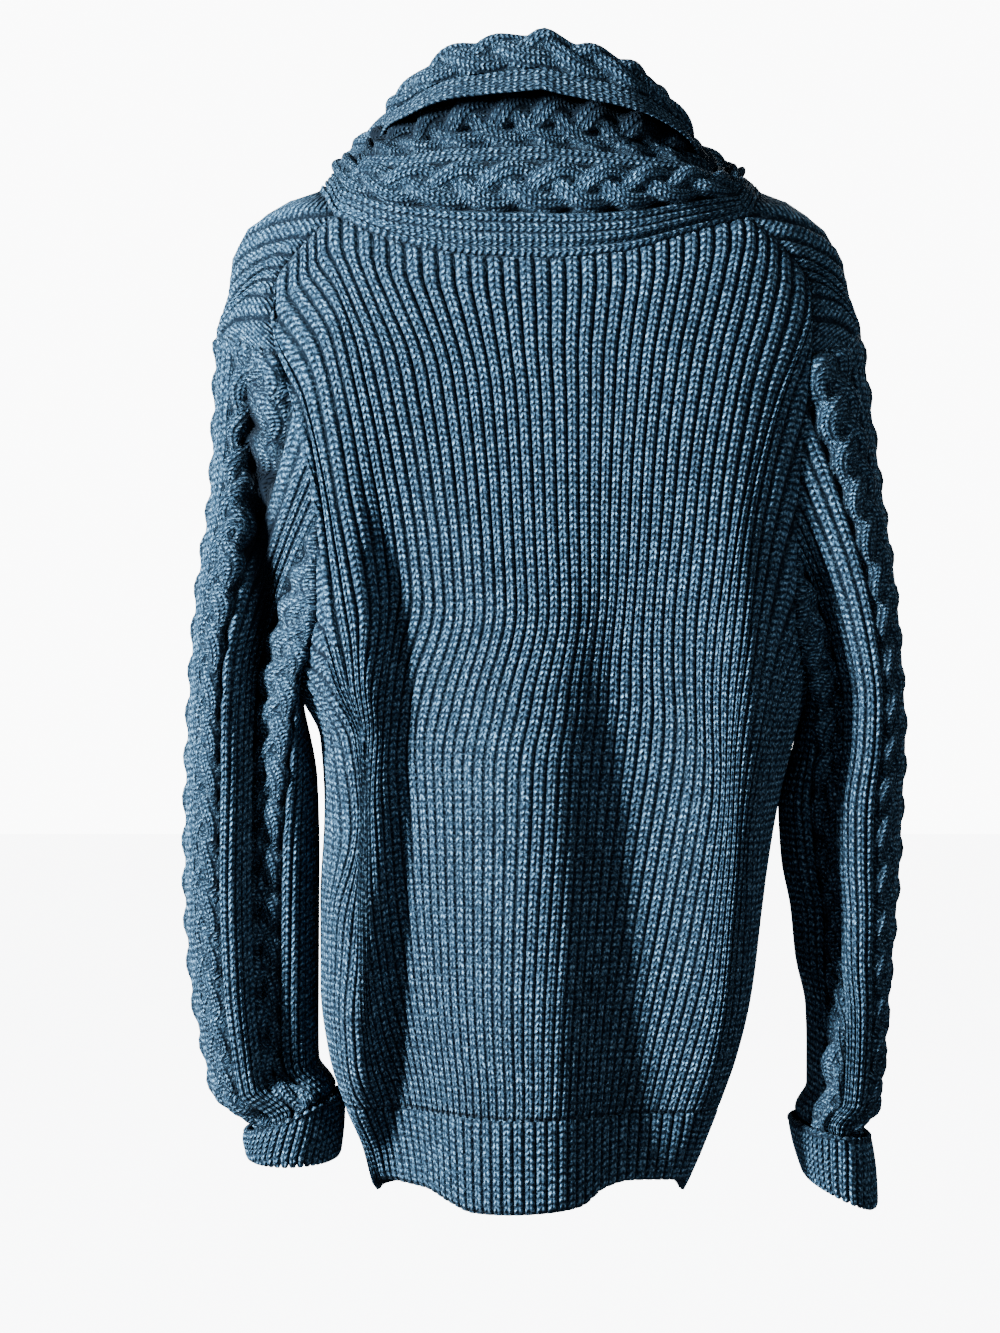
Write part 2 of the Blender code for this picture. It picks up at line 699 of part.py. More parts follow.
def sleeve_grid(left, ring, turns):
    """The sleeve's outer points in rows from the armhole down into the cuff."""
    start = body(ring[:, 0], ring[:, 1])
    top = cuff_edge(cuff_row(left), "top", turns)
    down = np.linspace(0, 1, SLEEVE_ROWS - len(SLEEVE_ENDS) + 1)[:, None]
    upper_z = start[None, :, 2] + (top[None] + BAG_TOP - start[None, :, 2]) * down
    lower_z = np.array([top + above for above in SLEEVE_ENDS])
    z = np.concatenate([upper_z, lower_z])
    turn = np.broadcast_to(turns[None, :], z.shape)
    grid = sleeve_point(left, turn, z)
    down = np.concatenate([down, np.ones((len(SLEEVE_ENDS), 1))])
    left_over = 1 - np.clip(down / ARMHOLE_BLEND, 0, 1)
    from_start = (start - grid[0])[None] * (left_over**2)[..., None]
    gathered = ease((BAG_TOP - (z - top[None])) / (BAG_TOP - BAG_END))[..., None]
    from_end = (cuff_point(left, turn, z, 0.0) - grid) * gathered
    return hollowed(left, grid + from_start + from_end, down)


def grid_normals(grid, outward):
    """Directions off a tube's grid, turned to the side that outward gives."""
    around = np.roll(grid, -1, axis=1) - np.roll(grid, 1, axis=1)
    down = np.gradient(grid, axis=0)
    normals = unit(np.cross(around, down))
    sign = np.sign((normals * outward).sum(axis=-1, keepdims=True).mean())
    return normals * sign


def seam_directions(ring, grid):
    """At an armhole, the direction halfway between the body's and the sleeve's outward directions."""
    centre = grid.mean(axis=1, keepdims=True)
    sleeve = grid_normals(grid, grid - centre)[0]
    seam = grid[0]
    along = unit(np.roll(seam, -1, axis=0) - np.roll(seam, 1, axis=0))
    halfway = body_normals(ring[:, 0], ring[:, 1]) + sleeve
    return unit(halfway - along * (halfway * along).sum(axis=-1, keepdims=True))


def add_sleeve(name, left, ring, material):
    turns = ring_turns(ring, left)
    grid = sleeve_grid(left, ring, turns)
    centre = grid.mean(axis=1, keepdims=True)
    normals = grid_normals(grid, grid - centre)
    normals[0] = seam_directions(ring, grid)
    inner = grid - normals * WALL
    inner[-1] = cuff_point(left, turns, cuff_seam_z(left, turns) + SEAM_GAP, -WALL)
    return cloth_wall(name, *pulled_in(grid, inner, tube=True, ends=(True, False)), material, tube=True)


def add_cuff(name, left, turns, material):
    """A cuff turned up on itself: its section goes down inside, round the fold and up outside."""
    cuff = cuff_row(left)
    bottom = cuff_edge(cuff, "bottom", turns)
    top = cuff_edge(cuff, "top", turns)
    seam = cuff_seam_z(left, turns)
    gap = LAP_GAP + WALL / 2
    section = [
        (seam, -WALL),
        (bottom + CUFF_FOLD / 2, -WALL),
        (bottom, 0.0),
        (bottom, gap),
        (bottom + CUFF_FOLD / 2, gap + WALL),
        (top, gap + WALL),
        (top, gap),
        (bottom + CUFF_FOLD, gap),
        (bottom + CUFF_FOLD * 0.8, 0.0),
        (seam, 0.0),
    ]
    bm = bmesh.new()
    rings = [[bm.verts.new(point) for point in cuff_point(left, turns, z, off)] for z, off in section]
    count = len(turns)
    for ring, after in zip(rings, rings[1:] + rings[:1]):
        for column in range(count):
            beside = (column + 1) % count
            bm.faces.new((ring[column], ring[beside], after[beside], after[column]))
    return add_object(name, bm, material)


def collar_seam(left_seams, right_seams, neck_back):
    """The neck seam from the left point of the V, round the back of the neck, to the right one."""
    left = joined(left_seams["neck_side"], left_seams["neck_front"])[::-1]
    right = joined(right_seams["neck_side"], right_seams["neck_front"])
    return joined(left, neck_back, right)


def collar_grids(seam, rows):
    """The collar's points on the side that touches the neck's outside, and on its other side."""
    base = body(seam[:, 0], seam[:, 1])
    normals = body_normals(seam[:, 0], seam[:, 1])
    tangent = unit(np.gradient(base, axis=0))
    lengths = np.concatenate([[0.0], np.cumsum(np.linalg.norm(np.diff(base, axis=0), axis=1))])
    middle = np.interp(0.0, -base[:, 0], lengths)
    signed = np.where(
        lengths < middle, (lengths - middle) / middle, (lengths - middle) / (lengths[-1] - middle)
    )
    place = np.abs(signed)
    sign = np.where(signed <= 0, 1.0, -1.0)
    azimuth = np.radians(look_up(COLLAR, "turn", place))
    lying = look_up(COLLAR, "lying", place)[:, None]
    level_out = np.stack([sign * np.cos(azimuth), np.sin(azimuth), np.zeros(len(place))], axis=-1)
    away = np.cross(tangent, normals)
    away = unit(away * np.sign((away * base * [1, 0, 0]).sum(axis=-1, keepdims=True) + 1e-9))
    out = unit((1 - lying) * level_out + lying * away)
    up = unit((1 - lying) * np.array([0.0, 0.0, 1.0]) + lying * normals)
    height = np.where(sign > 0, 1.0, look_up(COLLAR_RIGHT, "height", place))
    knots = [np.zeros((len(place), 2))]
    for letter in "abcdef":
        knot_out = look_up(COLLAR, letter + "_out", place)
        knot_up = look_up(COLLAR, letter + "_up", place) * height
        knots.append(np.stack([knot_out, knot_up], axis=-1))
    section = through_knots(np.array(knots), rows) * MILLIMETRE
    return base[None] + section[..., :1] * out[None] + section[..., 1:] * up[None]


def through_knots(knots, cells):
    """Catmull-Rom curves through rows of knots, evenly spread over the average spacing of the rows."""
    steps = np.linalg.norm(np.diff(knots, axis=0), axis=-1).mean(axis=1)
    along = np.concatenate([[0.0], np.cumsum(steps)])
    at = np.linspace(0, along[-1], cells + 1)
    before = 2 * knots[0] - knots[1]
    after = 2 * knots[-1] - knots[-2]
    ends = np.concatenate([before[None], knots, after[None]])
    cell = np.clip(np.searchsorted(along, at) - 1, 0, len(steps) - 1)
    t = ((at - along[cell]) / steps[cell])[:, None, None]
    p0, p1, p2, p3 = (ends[cell + number] for number in range(4))
    return 0.5 * (
        2 * p1 + (p2 - p0) * t + (2 * p0 - 5 * p1 + 4 * p2 - p3) * t**2 + (3 * p1 - p0 - 3 * p2 + p3) * t**3
    )


def open_grid_normals(grid):
    across = np.gradient(grid, axis=1)
    down = np.gradient(grid, axis=0)
    return unit(np.cross(across, down))


def add_collar(seam, material):
    grid = collar_grids(seam, COLLAR_ROWS)
    normals = open_grid_normals(grid)
    outward = (normals[0] * body_normals(seam[:, 0], seam[:, 1])).sum()
    normals = normals * (1.0 if outward > 0 else -1.0)
    normals[0] = body_normals(seam[:, 0], seam[:, 1])
    inner = grid - normals * WALL
    return cloth_wall("collar", *pulled_in(grid, inner), material)


def band_places(x_from, x_to, z_values):
    """Places of a band, with its edges and its middle. In the hem rib its edges run straight on down."""
    x_values = np.linspace(x_from, x_to, BAND_COLUMNS + 1)
    full_turn = 2 * math.pi
    rows = []
    for z in z_values:
        rows.append([(turn_of(x, max(z, HEM_LINE_Z), -1) % full_turn, z) for x in x_values])
    return np.array(rows)


def add_band(name, places, lift, material):
    surface = body(places[..., 0], places[..., 1])
    normals = body_normals(places[..., 0], places[..., 1])
    outer = surface + normals * lift
    inner = outer - normals * WALL
    return cloth_wall(name, *pulled_in(outer, inner), material)


def add_button(number, z, lift, material):
    """A plain round button with a rim and a dished middle, lying on the band."""
    turn = np.array(-math.pi / 2)
    point = body(turn, np.array(z))
    normal = body_normals(turn, np.array(z))
    bm = bmesh.new()
    bmesh.ops.create_circle(bm, cap_ends=True, segments=BUTTON_SIDES, radius=BUTTON_RADIUS)
    bottom = bm.faces[:]
    top = bmesh.ops.extrude_face_region(bm, geom=bottom, use_keep_orig=True)["geom"]
    raised = [item for item in top if isinstance(item, bmesh.types.BMVert)]
    bmesh.ops.translate(bm, verts=raised, vec=(0, 0, BUTTON_THICKNESS))
    face = [item for item in top if isinstance(item, bmesh.types.BMFace)]
    bmesh.ops.inset_region(bm, faces=face, thickness=BUTTON_RIM)
    bmesh.ops.inset_region(bm, faces=face, thickness=BUTTON_RIM / 2, depth=-BUTTON_DISH)
    button = add_object(f"button_{number}", bm, material)
    button.location = Vector(point + normal * (lift + BUTTON_GAP))
    button.rotation_euler = Vector(normal).to_track_quat("Z", "Y").to_euler()
    return button


def add_back(halves, neck_back, bottom, at_seam, material):
    """The back: its side edges run down the shoulder seams, the armholes and the sides."""
    edges = [joined(seams["shoulder"], seams["armhole_back"], seams["side"]) for seams in halves.values()]
    places = filled(neck_back, bottom, *edges)
    normals = body_normals(places[..., 0], places[..., 1])
    armhole = slice(SHOULDER_COLUMNS, SHOULDER_COLUMNS + ARMHOLE_ROWS + 1)
    normals[armhole, 0] = at_seam["left"][: ARMHOLE_ROWS + 1][::-1]
    normals[armhole, -1] = at_seam["right"][: ARMHOLE_ROWS + 1][::-1]
    return panel("back", places, material, normals)


def add_front(name, seams, at_seam, material):
    """A front, from the shoulder seam down between the sleeve and the neck. Its lower edge's angles are
    given back for the hem rib below it."""
    outer_edge = joined(seams["head"], seams["armhole_front"], seams["side"])
    inner_edge = joined(seams["neck_side"], seams["neck_front"], seams["band"])
    turns = np.linspace(outer_edge[-1][0], inner_edge[-1][0], SHOULDER_COLUMNS + 1)
    bottom = np.stack([turns, np.full(turns.shape, HEM_LINE_Z)], axis=-1)
    places = filled(seams["shoulder"][::-1], bottom, outer_edge, inner_edge)
    normals = body_normals(places[..., 0], places[..., 1])
    normals[: HEAD_ROWS + ARMHOLE_ROWS + 1, 0] = np.concatenate([at_seam[ARMHOLE_ROWS:], at_seam[:1]])
    panel(f"front_{name}", places, material, normals)
    return turns


def add_hem(name, turns, material):
    down = np.linspace(0, 1, HEM_ROWS + 1)[:, None]
    heights = hem_heights(turns, down)
    places = np.stack([np.broadcast_to(turns, heights.shape), heights], axis=-1)
    return panel(f"hem_{name}", places, material)


def add_bands(material, button_material):
    """Both bands, fastened: the left one lies on the right one and carries the buttons' places."""
    half_band = BAND_WIDTH / 2
    upper_z = np.linspace(V_POINT_Z, HEM_LINE_Z, BAND_ROWS + 1)
    lower_z = np.linspace(HEM_LINE_Z, HEM_Z, HEM_ROWS + 1)
    band_z = np.concatenate([upper_z, lower_z[1:]])
    lift = WALL + LAP_GAP
    add_band("band_right", band_places(-half_band, half_band, band_z), 0.0, material)
    add_band("band_left", band_places(-half_band, half_band + BAND_LAP, band_z), lift, material)
    for number, z in enumerate(np.linspace(BUTTON_FIRST_Z, BUTTON_LAST_Z, BUTTONS), start=1):
        add_button(number, z, lift, button_material)


def build():
    for obj in list(bpy.data.objects):
        bpy.data.objects.remove(obj)
    body_knit = knit_material("body_knit", NAVY)
    rib_knit = knit_material("rib_knit", RIB_NAVY)
    collar_knit = knit_material("collar_knit", NAVY)
    horn = knit_material("horn", HORN, roughness=0.35)

    halves = {"left": half_seams(True), "right": half_seams(False)}
    neck_back = neck_back_seam(halves["left"], halves["right"])
    rings = {name: armhole_ring(seams) for name, seams in halves.items()}
    turns = {name: ring_turns(ring, name == "left") for name, ring in rings.items()}
    at_seam = {}
    for name, ring in rings.items():
        at_seam[name] = seam_directions(ring, sleeve_grid(name == "left", ring, turns[name]))

    back_turns = np.linspace(0, math.pi, NECK_COLUMNS + 1)
    back_bottom = np.stack([back_turns, np.full(back_turns.shape, HEM_LINE_Z)], axis=-1)
    add_back(halves, neck_back, back_bottom, at_seam, body_knit)
    add_hem("back", back_turns, rib_knit)
    for name, seams in halves.items():
        front_turns = add_front(name, seams, at_seam[name], body_knit)
        add_hem(f"front_{name}", front_turns, rib_knit)
        add_sleeve(f"sleeve_{name}", name == "left", rings[name], body_knit)
        add_cuff(f"cuff_{name}", name == "left", turns[name], rib_knit)
    add_collar(collar_seam(halves["left"], halves["right"], neck_back), collar_knit)
    add_bands(rib_knit, horn)


build()
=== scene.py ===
"""Shawl collar cardigan in heavy fisherman rib: the knitted cloth, its cables, seams and buttons."""

import math
from functools import partial

import bmesh
import bpy
import numpy as np
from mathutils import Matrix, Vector


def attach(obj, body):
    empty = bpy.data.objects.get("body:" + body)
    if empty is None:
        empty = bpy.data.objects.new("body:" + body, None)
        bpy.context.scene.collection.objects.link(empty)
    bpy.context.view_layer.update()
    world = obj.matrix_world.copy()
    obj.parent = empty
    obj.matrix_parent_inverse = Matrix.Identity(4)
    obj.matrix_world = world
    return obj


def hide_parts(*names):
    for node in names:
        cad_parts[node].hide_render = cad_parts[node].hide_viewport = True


# Lengths are in metres, angles of the sleeves' tables in degrees, and +X is the wearer's left.
MILLIMETRE = 0.001

# Places that the frame's pieces have
WALL = 0.004  # thickness of the frame's cloth wall
LAP_GAP = 0.0008  # between two layers that lie on each other
BUTTON_GAP = 0.0006  # between a button and its band
HEM_LINE_Z = -0.668  # seam between the body and its hem rib
HEM_Z = -0.735  # lower edge of the hem rib in front
V_POINT_Z = -0.300  # where the collar meets the front bands
CUFF_SEAM = 0.006  # how far the sleeve's seam lies below its cuff's turned-up edge
CUFF_FOLD = 0.008  # height of the cuff's round lower fold
BAND_WIDTH = 0.035
BAND_LAP = 0.004  # how far the top band reaches over the front beside it
BUTTON_FIRST_Z = -0.335
BUTTON_LAST_Z = -0.703
BUTTONS = 5
ARMHOLE_FLATTENING = 0.48  # an armhole's height against its width in the sleeve's turns

# Knit
CLOTH = 0.0022  # thickness of the knitted cloth, without its ribs
ROW = 0.0050  # height of one row of stitches
RIB_COLUMNS = 8  # mesh columns to one rib of the body
RIB_HEIGHT = 0.0036  # from a groove to the top of a rib
RIB_PITCH = 0.0076  # width of a rib between a sleeve's cables
SEAM_CELLS = 120  # points along each seam
SEAM_WIDTH = 0.0032  # cloth beside a seam that is drawn down into it
SEAM_DIP = 0.0008
STRETCHED_FROM = -0.24  # below this height the ribs lie flatter, over this much more of it
STRETCHED_OVER = 0.22

# Back, fronts and hem
BACK_RIBS = 68
BACK_ROWS = 86
FRONT_RIBS = 34
FRONT_ROWS = 72
RIB_LEAN = 2.5  # how quickly the ribs leave the lean that they start with at the shoulders
RIB_LINE_RIBS = (20.5, 34.0, 46.0)  # the ribs of the back that keep to RIB_LINES
RIB_LINES_FULL = -0.300  # heights between which those lines let go of their ribs
RIB_LINES_FADE = -0.430
ARMHOLE_LOW_Z = -0.305  # heights at which the armholes hold given ribs
ARMHOLE_HIGH_Z = -0.190
HEM_BACK_RIBS = 54
HEM_FRONT_RIBS = 27
HEM_ROWS = 12
HEM_HEIGHT = 0.0034
HEM_DIP = 0.3  # how much of a rib the hem's seam takes away, and how far from it
HEM_DIP_WIDTH = 0.0035

# Cables: heights are parts of a cable's own height, and STRAND_HALF is a part of a strand's width.
STRANDS = 3
STRAND_DIP = 0.36  # how far a strand sinks where it passes under another
STRAND_HALF = 0.56
STRAND_STITCHES = 1.5  # stitches on a strand to one of the plain cloth
PLAIT_FLOOR = -0.3
PLAIT_FLOOR_RIB = 0.0045

# Sleeves and cuffs
SLEEVE_COLUMNS = 328
SLEEVE_ROWS = 106
SLEEVE_END_ROWS = 12
SLEEVE_MIDDLE_Z = -0.42  # where the sleeves' columns are evenly spaced
SLEEVE_CABLES = (-78, -14, 50, 114)  # turns round the sleeve, from its outer face round its back
CABLE_HALF = 0.0145  # half a cable's width
CABLE_HEIGHT = 0.0074
SLEEVE_LOBE = 0.031  # spacing of a cable's crossings
SLEEVE_STRAND = 0.0120
SLEEVE_LAP = 0.0022  # how far a sleeve's edge goes under the body's at the armhole
SLEEVE_SINK = 0.0006
SLEEVE_TUCK = 0.0012  # how far it is drawn in where its cuff covers it
CAP_LINE = -0.100  # above it the ribs of a sleeve run round the shoulder
CAP_PITCH = 0.0058
HOLLOW_SHADE = 1.6  # how much shade is painted on the yarn in the left sleeve's long hollow
HOLLOW_DEEPEST = 0.024
CUFF_RIBS = 52
CUFF_RIB_COLUMNS = 6
CUFF_INSIDE_ROWS = 4
CUFF_FOLD_ROWS = 6
CUFF_OUTSIDE_ROWS = 12
CUFF_RIM_ROWS = 3
CUFF_SLANT = 0.22  # how far a cuff's ribs turn round it from its fold to its edge, in radians
CUFF_HEIGHT = 0.0028
CUFF_CLOTH = 0.0018

# Collar: widths are across it from its seam, in millimetres at the middle of the back.
COLLAR_KNOTS = "abcdef"  # the knots that a row of COLLAR gives after the seam's own
COLLAR_CELLS = 300  # fine steps of a section, before its rows are spaced evenly
COLLAR_COLUMNS = 330
COLLAR_ROWS = 140
COLLAR_LAP = 0.0030  # how far its seam edge goes down over the body
COLLAR_SHADE = 0.046  # how far below the fall's edge the cloth is still in its shade
COLLAR_MILLIMETRES = 223.0
COLLAR_BORDER = 206.0
COLLAR_TURN = 152.0  # where it turns over into its fall
COLLAR_VALLEY = 76.0  # the hollow between its two standing cables, where shade is painted
# Ribs of the collar: where each group begins and ends, how many there are, and their height.
COLLAR_RIBS = (
    (8.0, 30.0, 3, 1.0),
    (68.0, 84.0, 2, 0.9),
    (128.0, 168.0, 4, 0.8),
)
# Cables of the collar: begin, end, spacing of the crossings, strand width and height.
COLLAR_CABLES = (
    (30.0, 68.0, 0.034, 0.0145, 0.0078),
    (84.0, 128.0, 0.034, 0.0160, 0.0080),
    (168.0, 206.0, 0.036, 0.0135, 0.0066),
)

# Bands and buttons
BAND_RIBS = 6
BAND_ROWS = 74
BAND_LOW_ROWS = 12
BAND_HEIGHT = 0.0016
BAND_CLOTH = 0.0016
# A button's section: radius and height of each corner.
BUTTON_SECTION = (
    (0.0, 0.0014),
    (0.0050, 0.0015),
    (0.0068, 0.0020),
    (0.0078, 0.0032),
    (0.0090, 0.0036),
    (0.0102, 0.0030),
    (0.0105, 0.0018),
    (0.0098, 0.0006),
    (0.0080, 0.0),
    (0.0, 0.0),
)
BUTTON_STEPS = 40  # faces round a button
HOLE_RING = 0.0022  # radius of the ring of holes in a button
HOLE_FACES = 12
HOLE_RADIUS = 0.0009
THREAD_FACES = 8
THREAD_RADIUS = 0.00028
THREAD_LENGTH = 0.0046

# Colours of the yarn: its own, the painted shade that stands for the shadow between the stitches and the
# ribs, and its pale flecks.
YARN = (0.044, 0.100, 0.160, 1.0)
PAINTED_SHADE = (0.0008, 0.0022, 0.0045, 1.0)
PALE = (0.27, 0.44, 0.58, 1.0)

# Studio
FLOOR_Z = -0.95
FLOOR_HALF = 9.0
CAMERA_PLACE = (0.0303, 2.6, -0.345)
CAMERA_DISTANCE = 2.58  # to the middle of the garment, where the view is VIEW_HEIGHT high
VIEW_HEIGHT = 0.986
SENSOR = 24.0  # height of the camera's sensor, in millimetres
AMBIENT = 0.004  # light of the background on the pieces
WHITE = 11.0  # brightness of the floor and the background as the camera sees them


def table(columns, *rows):
    """A short table: its column names, and an array for each of them."""
    return dict(zip(columns.split(), np.array(rows, float).T))


# Half widths and depths of the body at each height. A square of 2 is an ellipse, and more is boxier.
BODY = table(
    "z left right back front square_left square_right",
    (-0.760, 0.112, 0.104, 0.117, 0.120, 2.2, 2.6),
    (-0.730, 0.124, 0.108, 0.118, 0.121, 2.2, 2.7),
    (-0.700, 0.132, 0.119, 0.119, 0.122, 2.2, 2.7),
    (-0.668, 0.1455, 0.131, 0.120, 0.124, 2.2, 2.7),
    (-0.630, 0.157, 0.144, 0.121, 0.126, 2.2, 2.7),
    (-0.583, 0.163, 0.155, 0.122, 0.128, 2.2, 2.7),
    (-0.520, 0.163, 0.163, 0.122, 0.130, 2.2, 2.7),
    (-0.450, 0.160, 0.174, 0.121, 0.131, 2.2, 2.7),
    (-0.398, 0.163, 0.187, 0.120, 0.131, 2.2, 2.6),
    (-0.355, 0.184, 0.199, 0.120, 0.130, 2.3, 2.5),
    (-0.300, 0.196, 0.207, 0.119, 0.127, 2.4, 2.5),
    (-0.220, 0.202, 0.214, 0.118, 0.124, 2.4, 2.5),
    (-0.150, 0.218, 0.224, 0.116, 0.118, 2.3, 2.4),
    (-0.098, 0.240, 0.237, 0.113, 0.111, 2.2, 2.2),
    (-0.070, 0.232, 0.229, 0.110, 0.104, 2.1, 2.1),
    (-0.045, 0.229, 0.224, 0.105, 0.096, 2.0, 2.0),
    (-0.024, 0.2205, 0.2125, 0.099, 0.088, 2.0, 2.0),
    (-0.0085, 0.201, 0.194, 0.092, 0.079, 2.0, 2.0),
    (0.011, 0.162, 0.159, 0.080, 0.066, 2.0, 2.0),
    (0.040, 0.115, 0.115, 0.060, 0.050, 2.0, 2.0),
)

# The largest folds of the body. face is +1 on the back and -1 on the front. Each runs down through
# x_top, x_mid and x_low, starts at z_top, has its full depth from z_full down, and is wider towards
# one side than the other. A depth below zero is a trough, and one above zero a ridge.
FOLDS = table(
    "face x_top x_mid x_low z_top z_full width_left width_right depth",
    (1, 0.128, 0.093, 0.110, -0.115, -0.330, 0.022, 0.060, -0.046),
    (1, 0.160, 0.148, 0.136, -0.250, -0.450, 0.020, 0.018, 0.014),
    (1, -0.046, -0.058, -0.066, -0.170, -0.480, 0.038, 0.066, -0.034),
    (1, -0.138, -0.149, -0.136, -0.190, -0.400, 0.044, 0.022, 0.022),
    (1, 0.080, 0.070, 0.055, -0.200, -0.440, 0.030, 0.090, 0.014),
    (-1, 0.120, 0.105, 0.092, -0.260, -0.520, 0.030, 0.030, -0.022),
    (-1, 0.075, 0.060, 0.052, -0.420, -0.640, 0.018, 0.022, 0.009),
    (-1, -0.100, -0.085, -0.070, -0.220, -0.480, 0.026, 0.034, -0.018),
    (-1, -0.140, -0.130, -0.112, -0.330, -0.600, 0.022, 0.018, 0.010),
)
FOLD_EDGE = 0.045  # depth of the body over which its folds fade out at the side seams
FOLD_CENTRE = 0.030  # half width of the bands, which stay flat

# Where three ribs of the back run, at heights above the waist.
RIB_LINES = table(
    "z left middle right",
    (-0.441, 0.0803, -0.0097, -0.0803),
    (-0.369, 0.0832, -0.0132, -0.0868),
    (-0.298, 0.0889, -0.0125, -0.0953),
    (-0.241, 0.0953, -0.0104, -0.1011),
    (-0.212, 0.1003, -0.0097, -0.1039),
    (-0.183, 0.1053, -0.0089, -0.1075),
    (-0.155, 0.1110, -0.0082, -0.1118),
    (-0.112, 0.1210, -0.0061, -0.1196),
    (-0.083, 0.1325, -0.0061, -0.1268),
    (-0.041, 0.1503, -0.0047, -0.1360),
)

# The hem rib's lower edge behind, higher where a fold draws it in.
HEM_EDGE = table(
    "x z",
    (-0.125, -0.731),
    (-0.100, -0.720),
    (-0.062, -0.717),
    (-0.046, -0.720),
    (-0.028, -0.731),
    (0.000, -0.734),
    (0.050, -0.736),
    (0.068, -0.731),
    (0.085, -0.725),
    (0.108, -0.725),
    (0.130, -0.731),
)

# The seams on the left half, as places across and up the body. side is +1 behind and -1 in front.
SHOULDER_SEAM = table(
    "x z side",
    (0.149, -0.016, 1),
    (0.174, -0.038, 1),
    (0.194, -0.064, 1),
    (0.195, -0.092, 1),
    (0.192, -0.120, 1),
)
SLEEVE_HEAD = table(
    "x z side",
    (0.192, -0.120, 1),
    (0.217, -0.108, 1),
    (0.238, -0.096, 0),
    (0.213, -0.108, -1),
    (0.186, -0.124, -1),
)
ARMHOLE_BACK = table(
    "x z side",
    (0.192, -0.120, 1),
    (0.181, -0.152, 1),
    (0.167, -0.190, 1),
    (0.163, -0.250, 1),
    (0.163, -0.300, 1),
    (0.171, -0.334, 1),
    (0.184, -0.355, 0),
)
ARMHOLE_FRONT = table(
    "x z side",
    (0.186, -0.124, -1),
    (0.172, -0.155, -1),
    (0.160, -0.200, -1),
    (0.156, -0.250, -1),
    (0.160, -0.300, -1),
    (0.171, -0.336, -1),
    (0.184, -0.355, 0),
)
# On the right the armhole lies further out.
RIGHT_SHIFT = table(
    "z shift",
    (-0.400, 0.015),
    (-0.355, 0.015),
    (-0.310, 0.022),
    (-0.200, 0.022),
    (-0.150, 0.012),
    (-0.120, 0.004),
    (-0.060, 0.001),
    (-0.016, 0.000),
)
NECK_BACK = table(
    "x z",
    (0.102, -0.038),
    (0.045, -0.049),
    (-0.005, -0.051),
    (-0.055, -0.0465),
    (-0.106, -0.031),
)
NECK_SIDE = table(
    "x z side",
    (0.149, -0.016, 1),
    (0.158, 0.000, 1),
    (0.161, 0.011, 0),
    (0.150, 0.000, -1),
    (0.134, -0.024, -1),
)
NECK_FRONT = table(
    "x z side",
    (0.134, -0.024, -1),
    (0.116, -0.060, -1),
    (0.092, -0.120, -1),
    (0.064, -0.190, -1),
    (0.036, -0.255, -1),
    (0.0175, -0.300, -1),
)
SEAMS = {
    "shoulder": SHOULDER_SEAM,
    "head": SLEEVE_HEAD,
    "armhole_back": ARMHOLE_BACK,
    "armhole_front": ARMHOLE_FRONT,
    "neck_side": NECK_SIDE,
    "neck_front": NECK_FRONT,
}

# The sleeves: how far each face lies from the middle of the body, at each height.
SLEEVE_LEFT = table(
    "z outer inner back front",
    (-0.710, 0.213, 0.156, 0.043, -0.071),
    (-0.695, 0.217, 0.157, 0.045, -0.073),
    (-0.682, 0.234, 0.160, 0.050, -0.078),
    (-0.665, 0.243, 0.163, 0.055, -0.082),
    (-0.630, 0.251, 0.167, 0.060, -0.084),
    (-0.577, 0.260, 0.1665, 0.064, -0.084),
    (-0.500, 0.264, 0.166, 0.069, -0.082),
    (-0.430, 0.263, 0.1655, 0.073, -0.081),
    (-0.380, 0.261, 0.171, 0.076, -0.081),
    (-0.340, 0.2585, 0.177, 0.077, -0.081),
    (-0.300, 0.2555, 0.172, 0.078, -0.080),
    (-0.200, 0.243, 0.160, 0.076, -0.076),
    (-0.090, 0.239, 0.156, 0.070, -0.068),
)
SLEEVE_RIGHT = table(
    "z outer inner back front",
    (-0.720, 0.240, 0.197, 0.044, -0.076),
    (-0.700, 0.245, 0.197, 0.048, -0.080),
    (-0.673, 0.250, 0.200, 0.056, -0.086),
    (-0.655, 0.2535, 0.201, 0.058, -0.087),
    (-0.630, 0.256, 0.201, 0.060, -0.088),
    (-0.600, 0.258, 0.200, 0.063, -0.088),
    (-0.562, 0.261, 0.192, 0.066, -0.086),
    (-0.525, 0.264, 0.188, 0.069, -0.085),
    (-0.488, 0.2665, 0.181, 0.071, -0.083),
    (-0.450, 0.268, 0.179, 0.073, -0.082),
    (-0.400, 0.270, 0.192, 0.076, -0.081),
    (-0.355, 0.268, 0.202, 0.078, -0.081),
    (-0.300, 0.264, 0.200, 0.079, -0.080),
    (-0.200, 0.251, 0.186, 0.077, -0.076),
    (-0.090, 0.238, 0.160, 0.070, -0.068),
)
# The largest folds of the sleeves. turn is measured from the outer face (0) round the back (90).
SLEEVE_FOLDS = table(
    "side turn_top turn_low z_top z_full z_fade z_end width_out width_in depth",
    (1, 84, 114, -0.120, -0.190, -0.620, -0.700, 22, 26, -0.023),
    (1, 250, 235, -0.200, -0.330, -0.560, -0.650, 30, 24, -0.012),
    (-1, 112, 122, -0.200, -0.300, -0.520, -0.640, 22, 30, -0.022),
    (-1, 262, 244, -0.240, -0.330, -0.520, -0.620, 26, 30, -0.013),
)
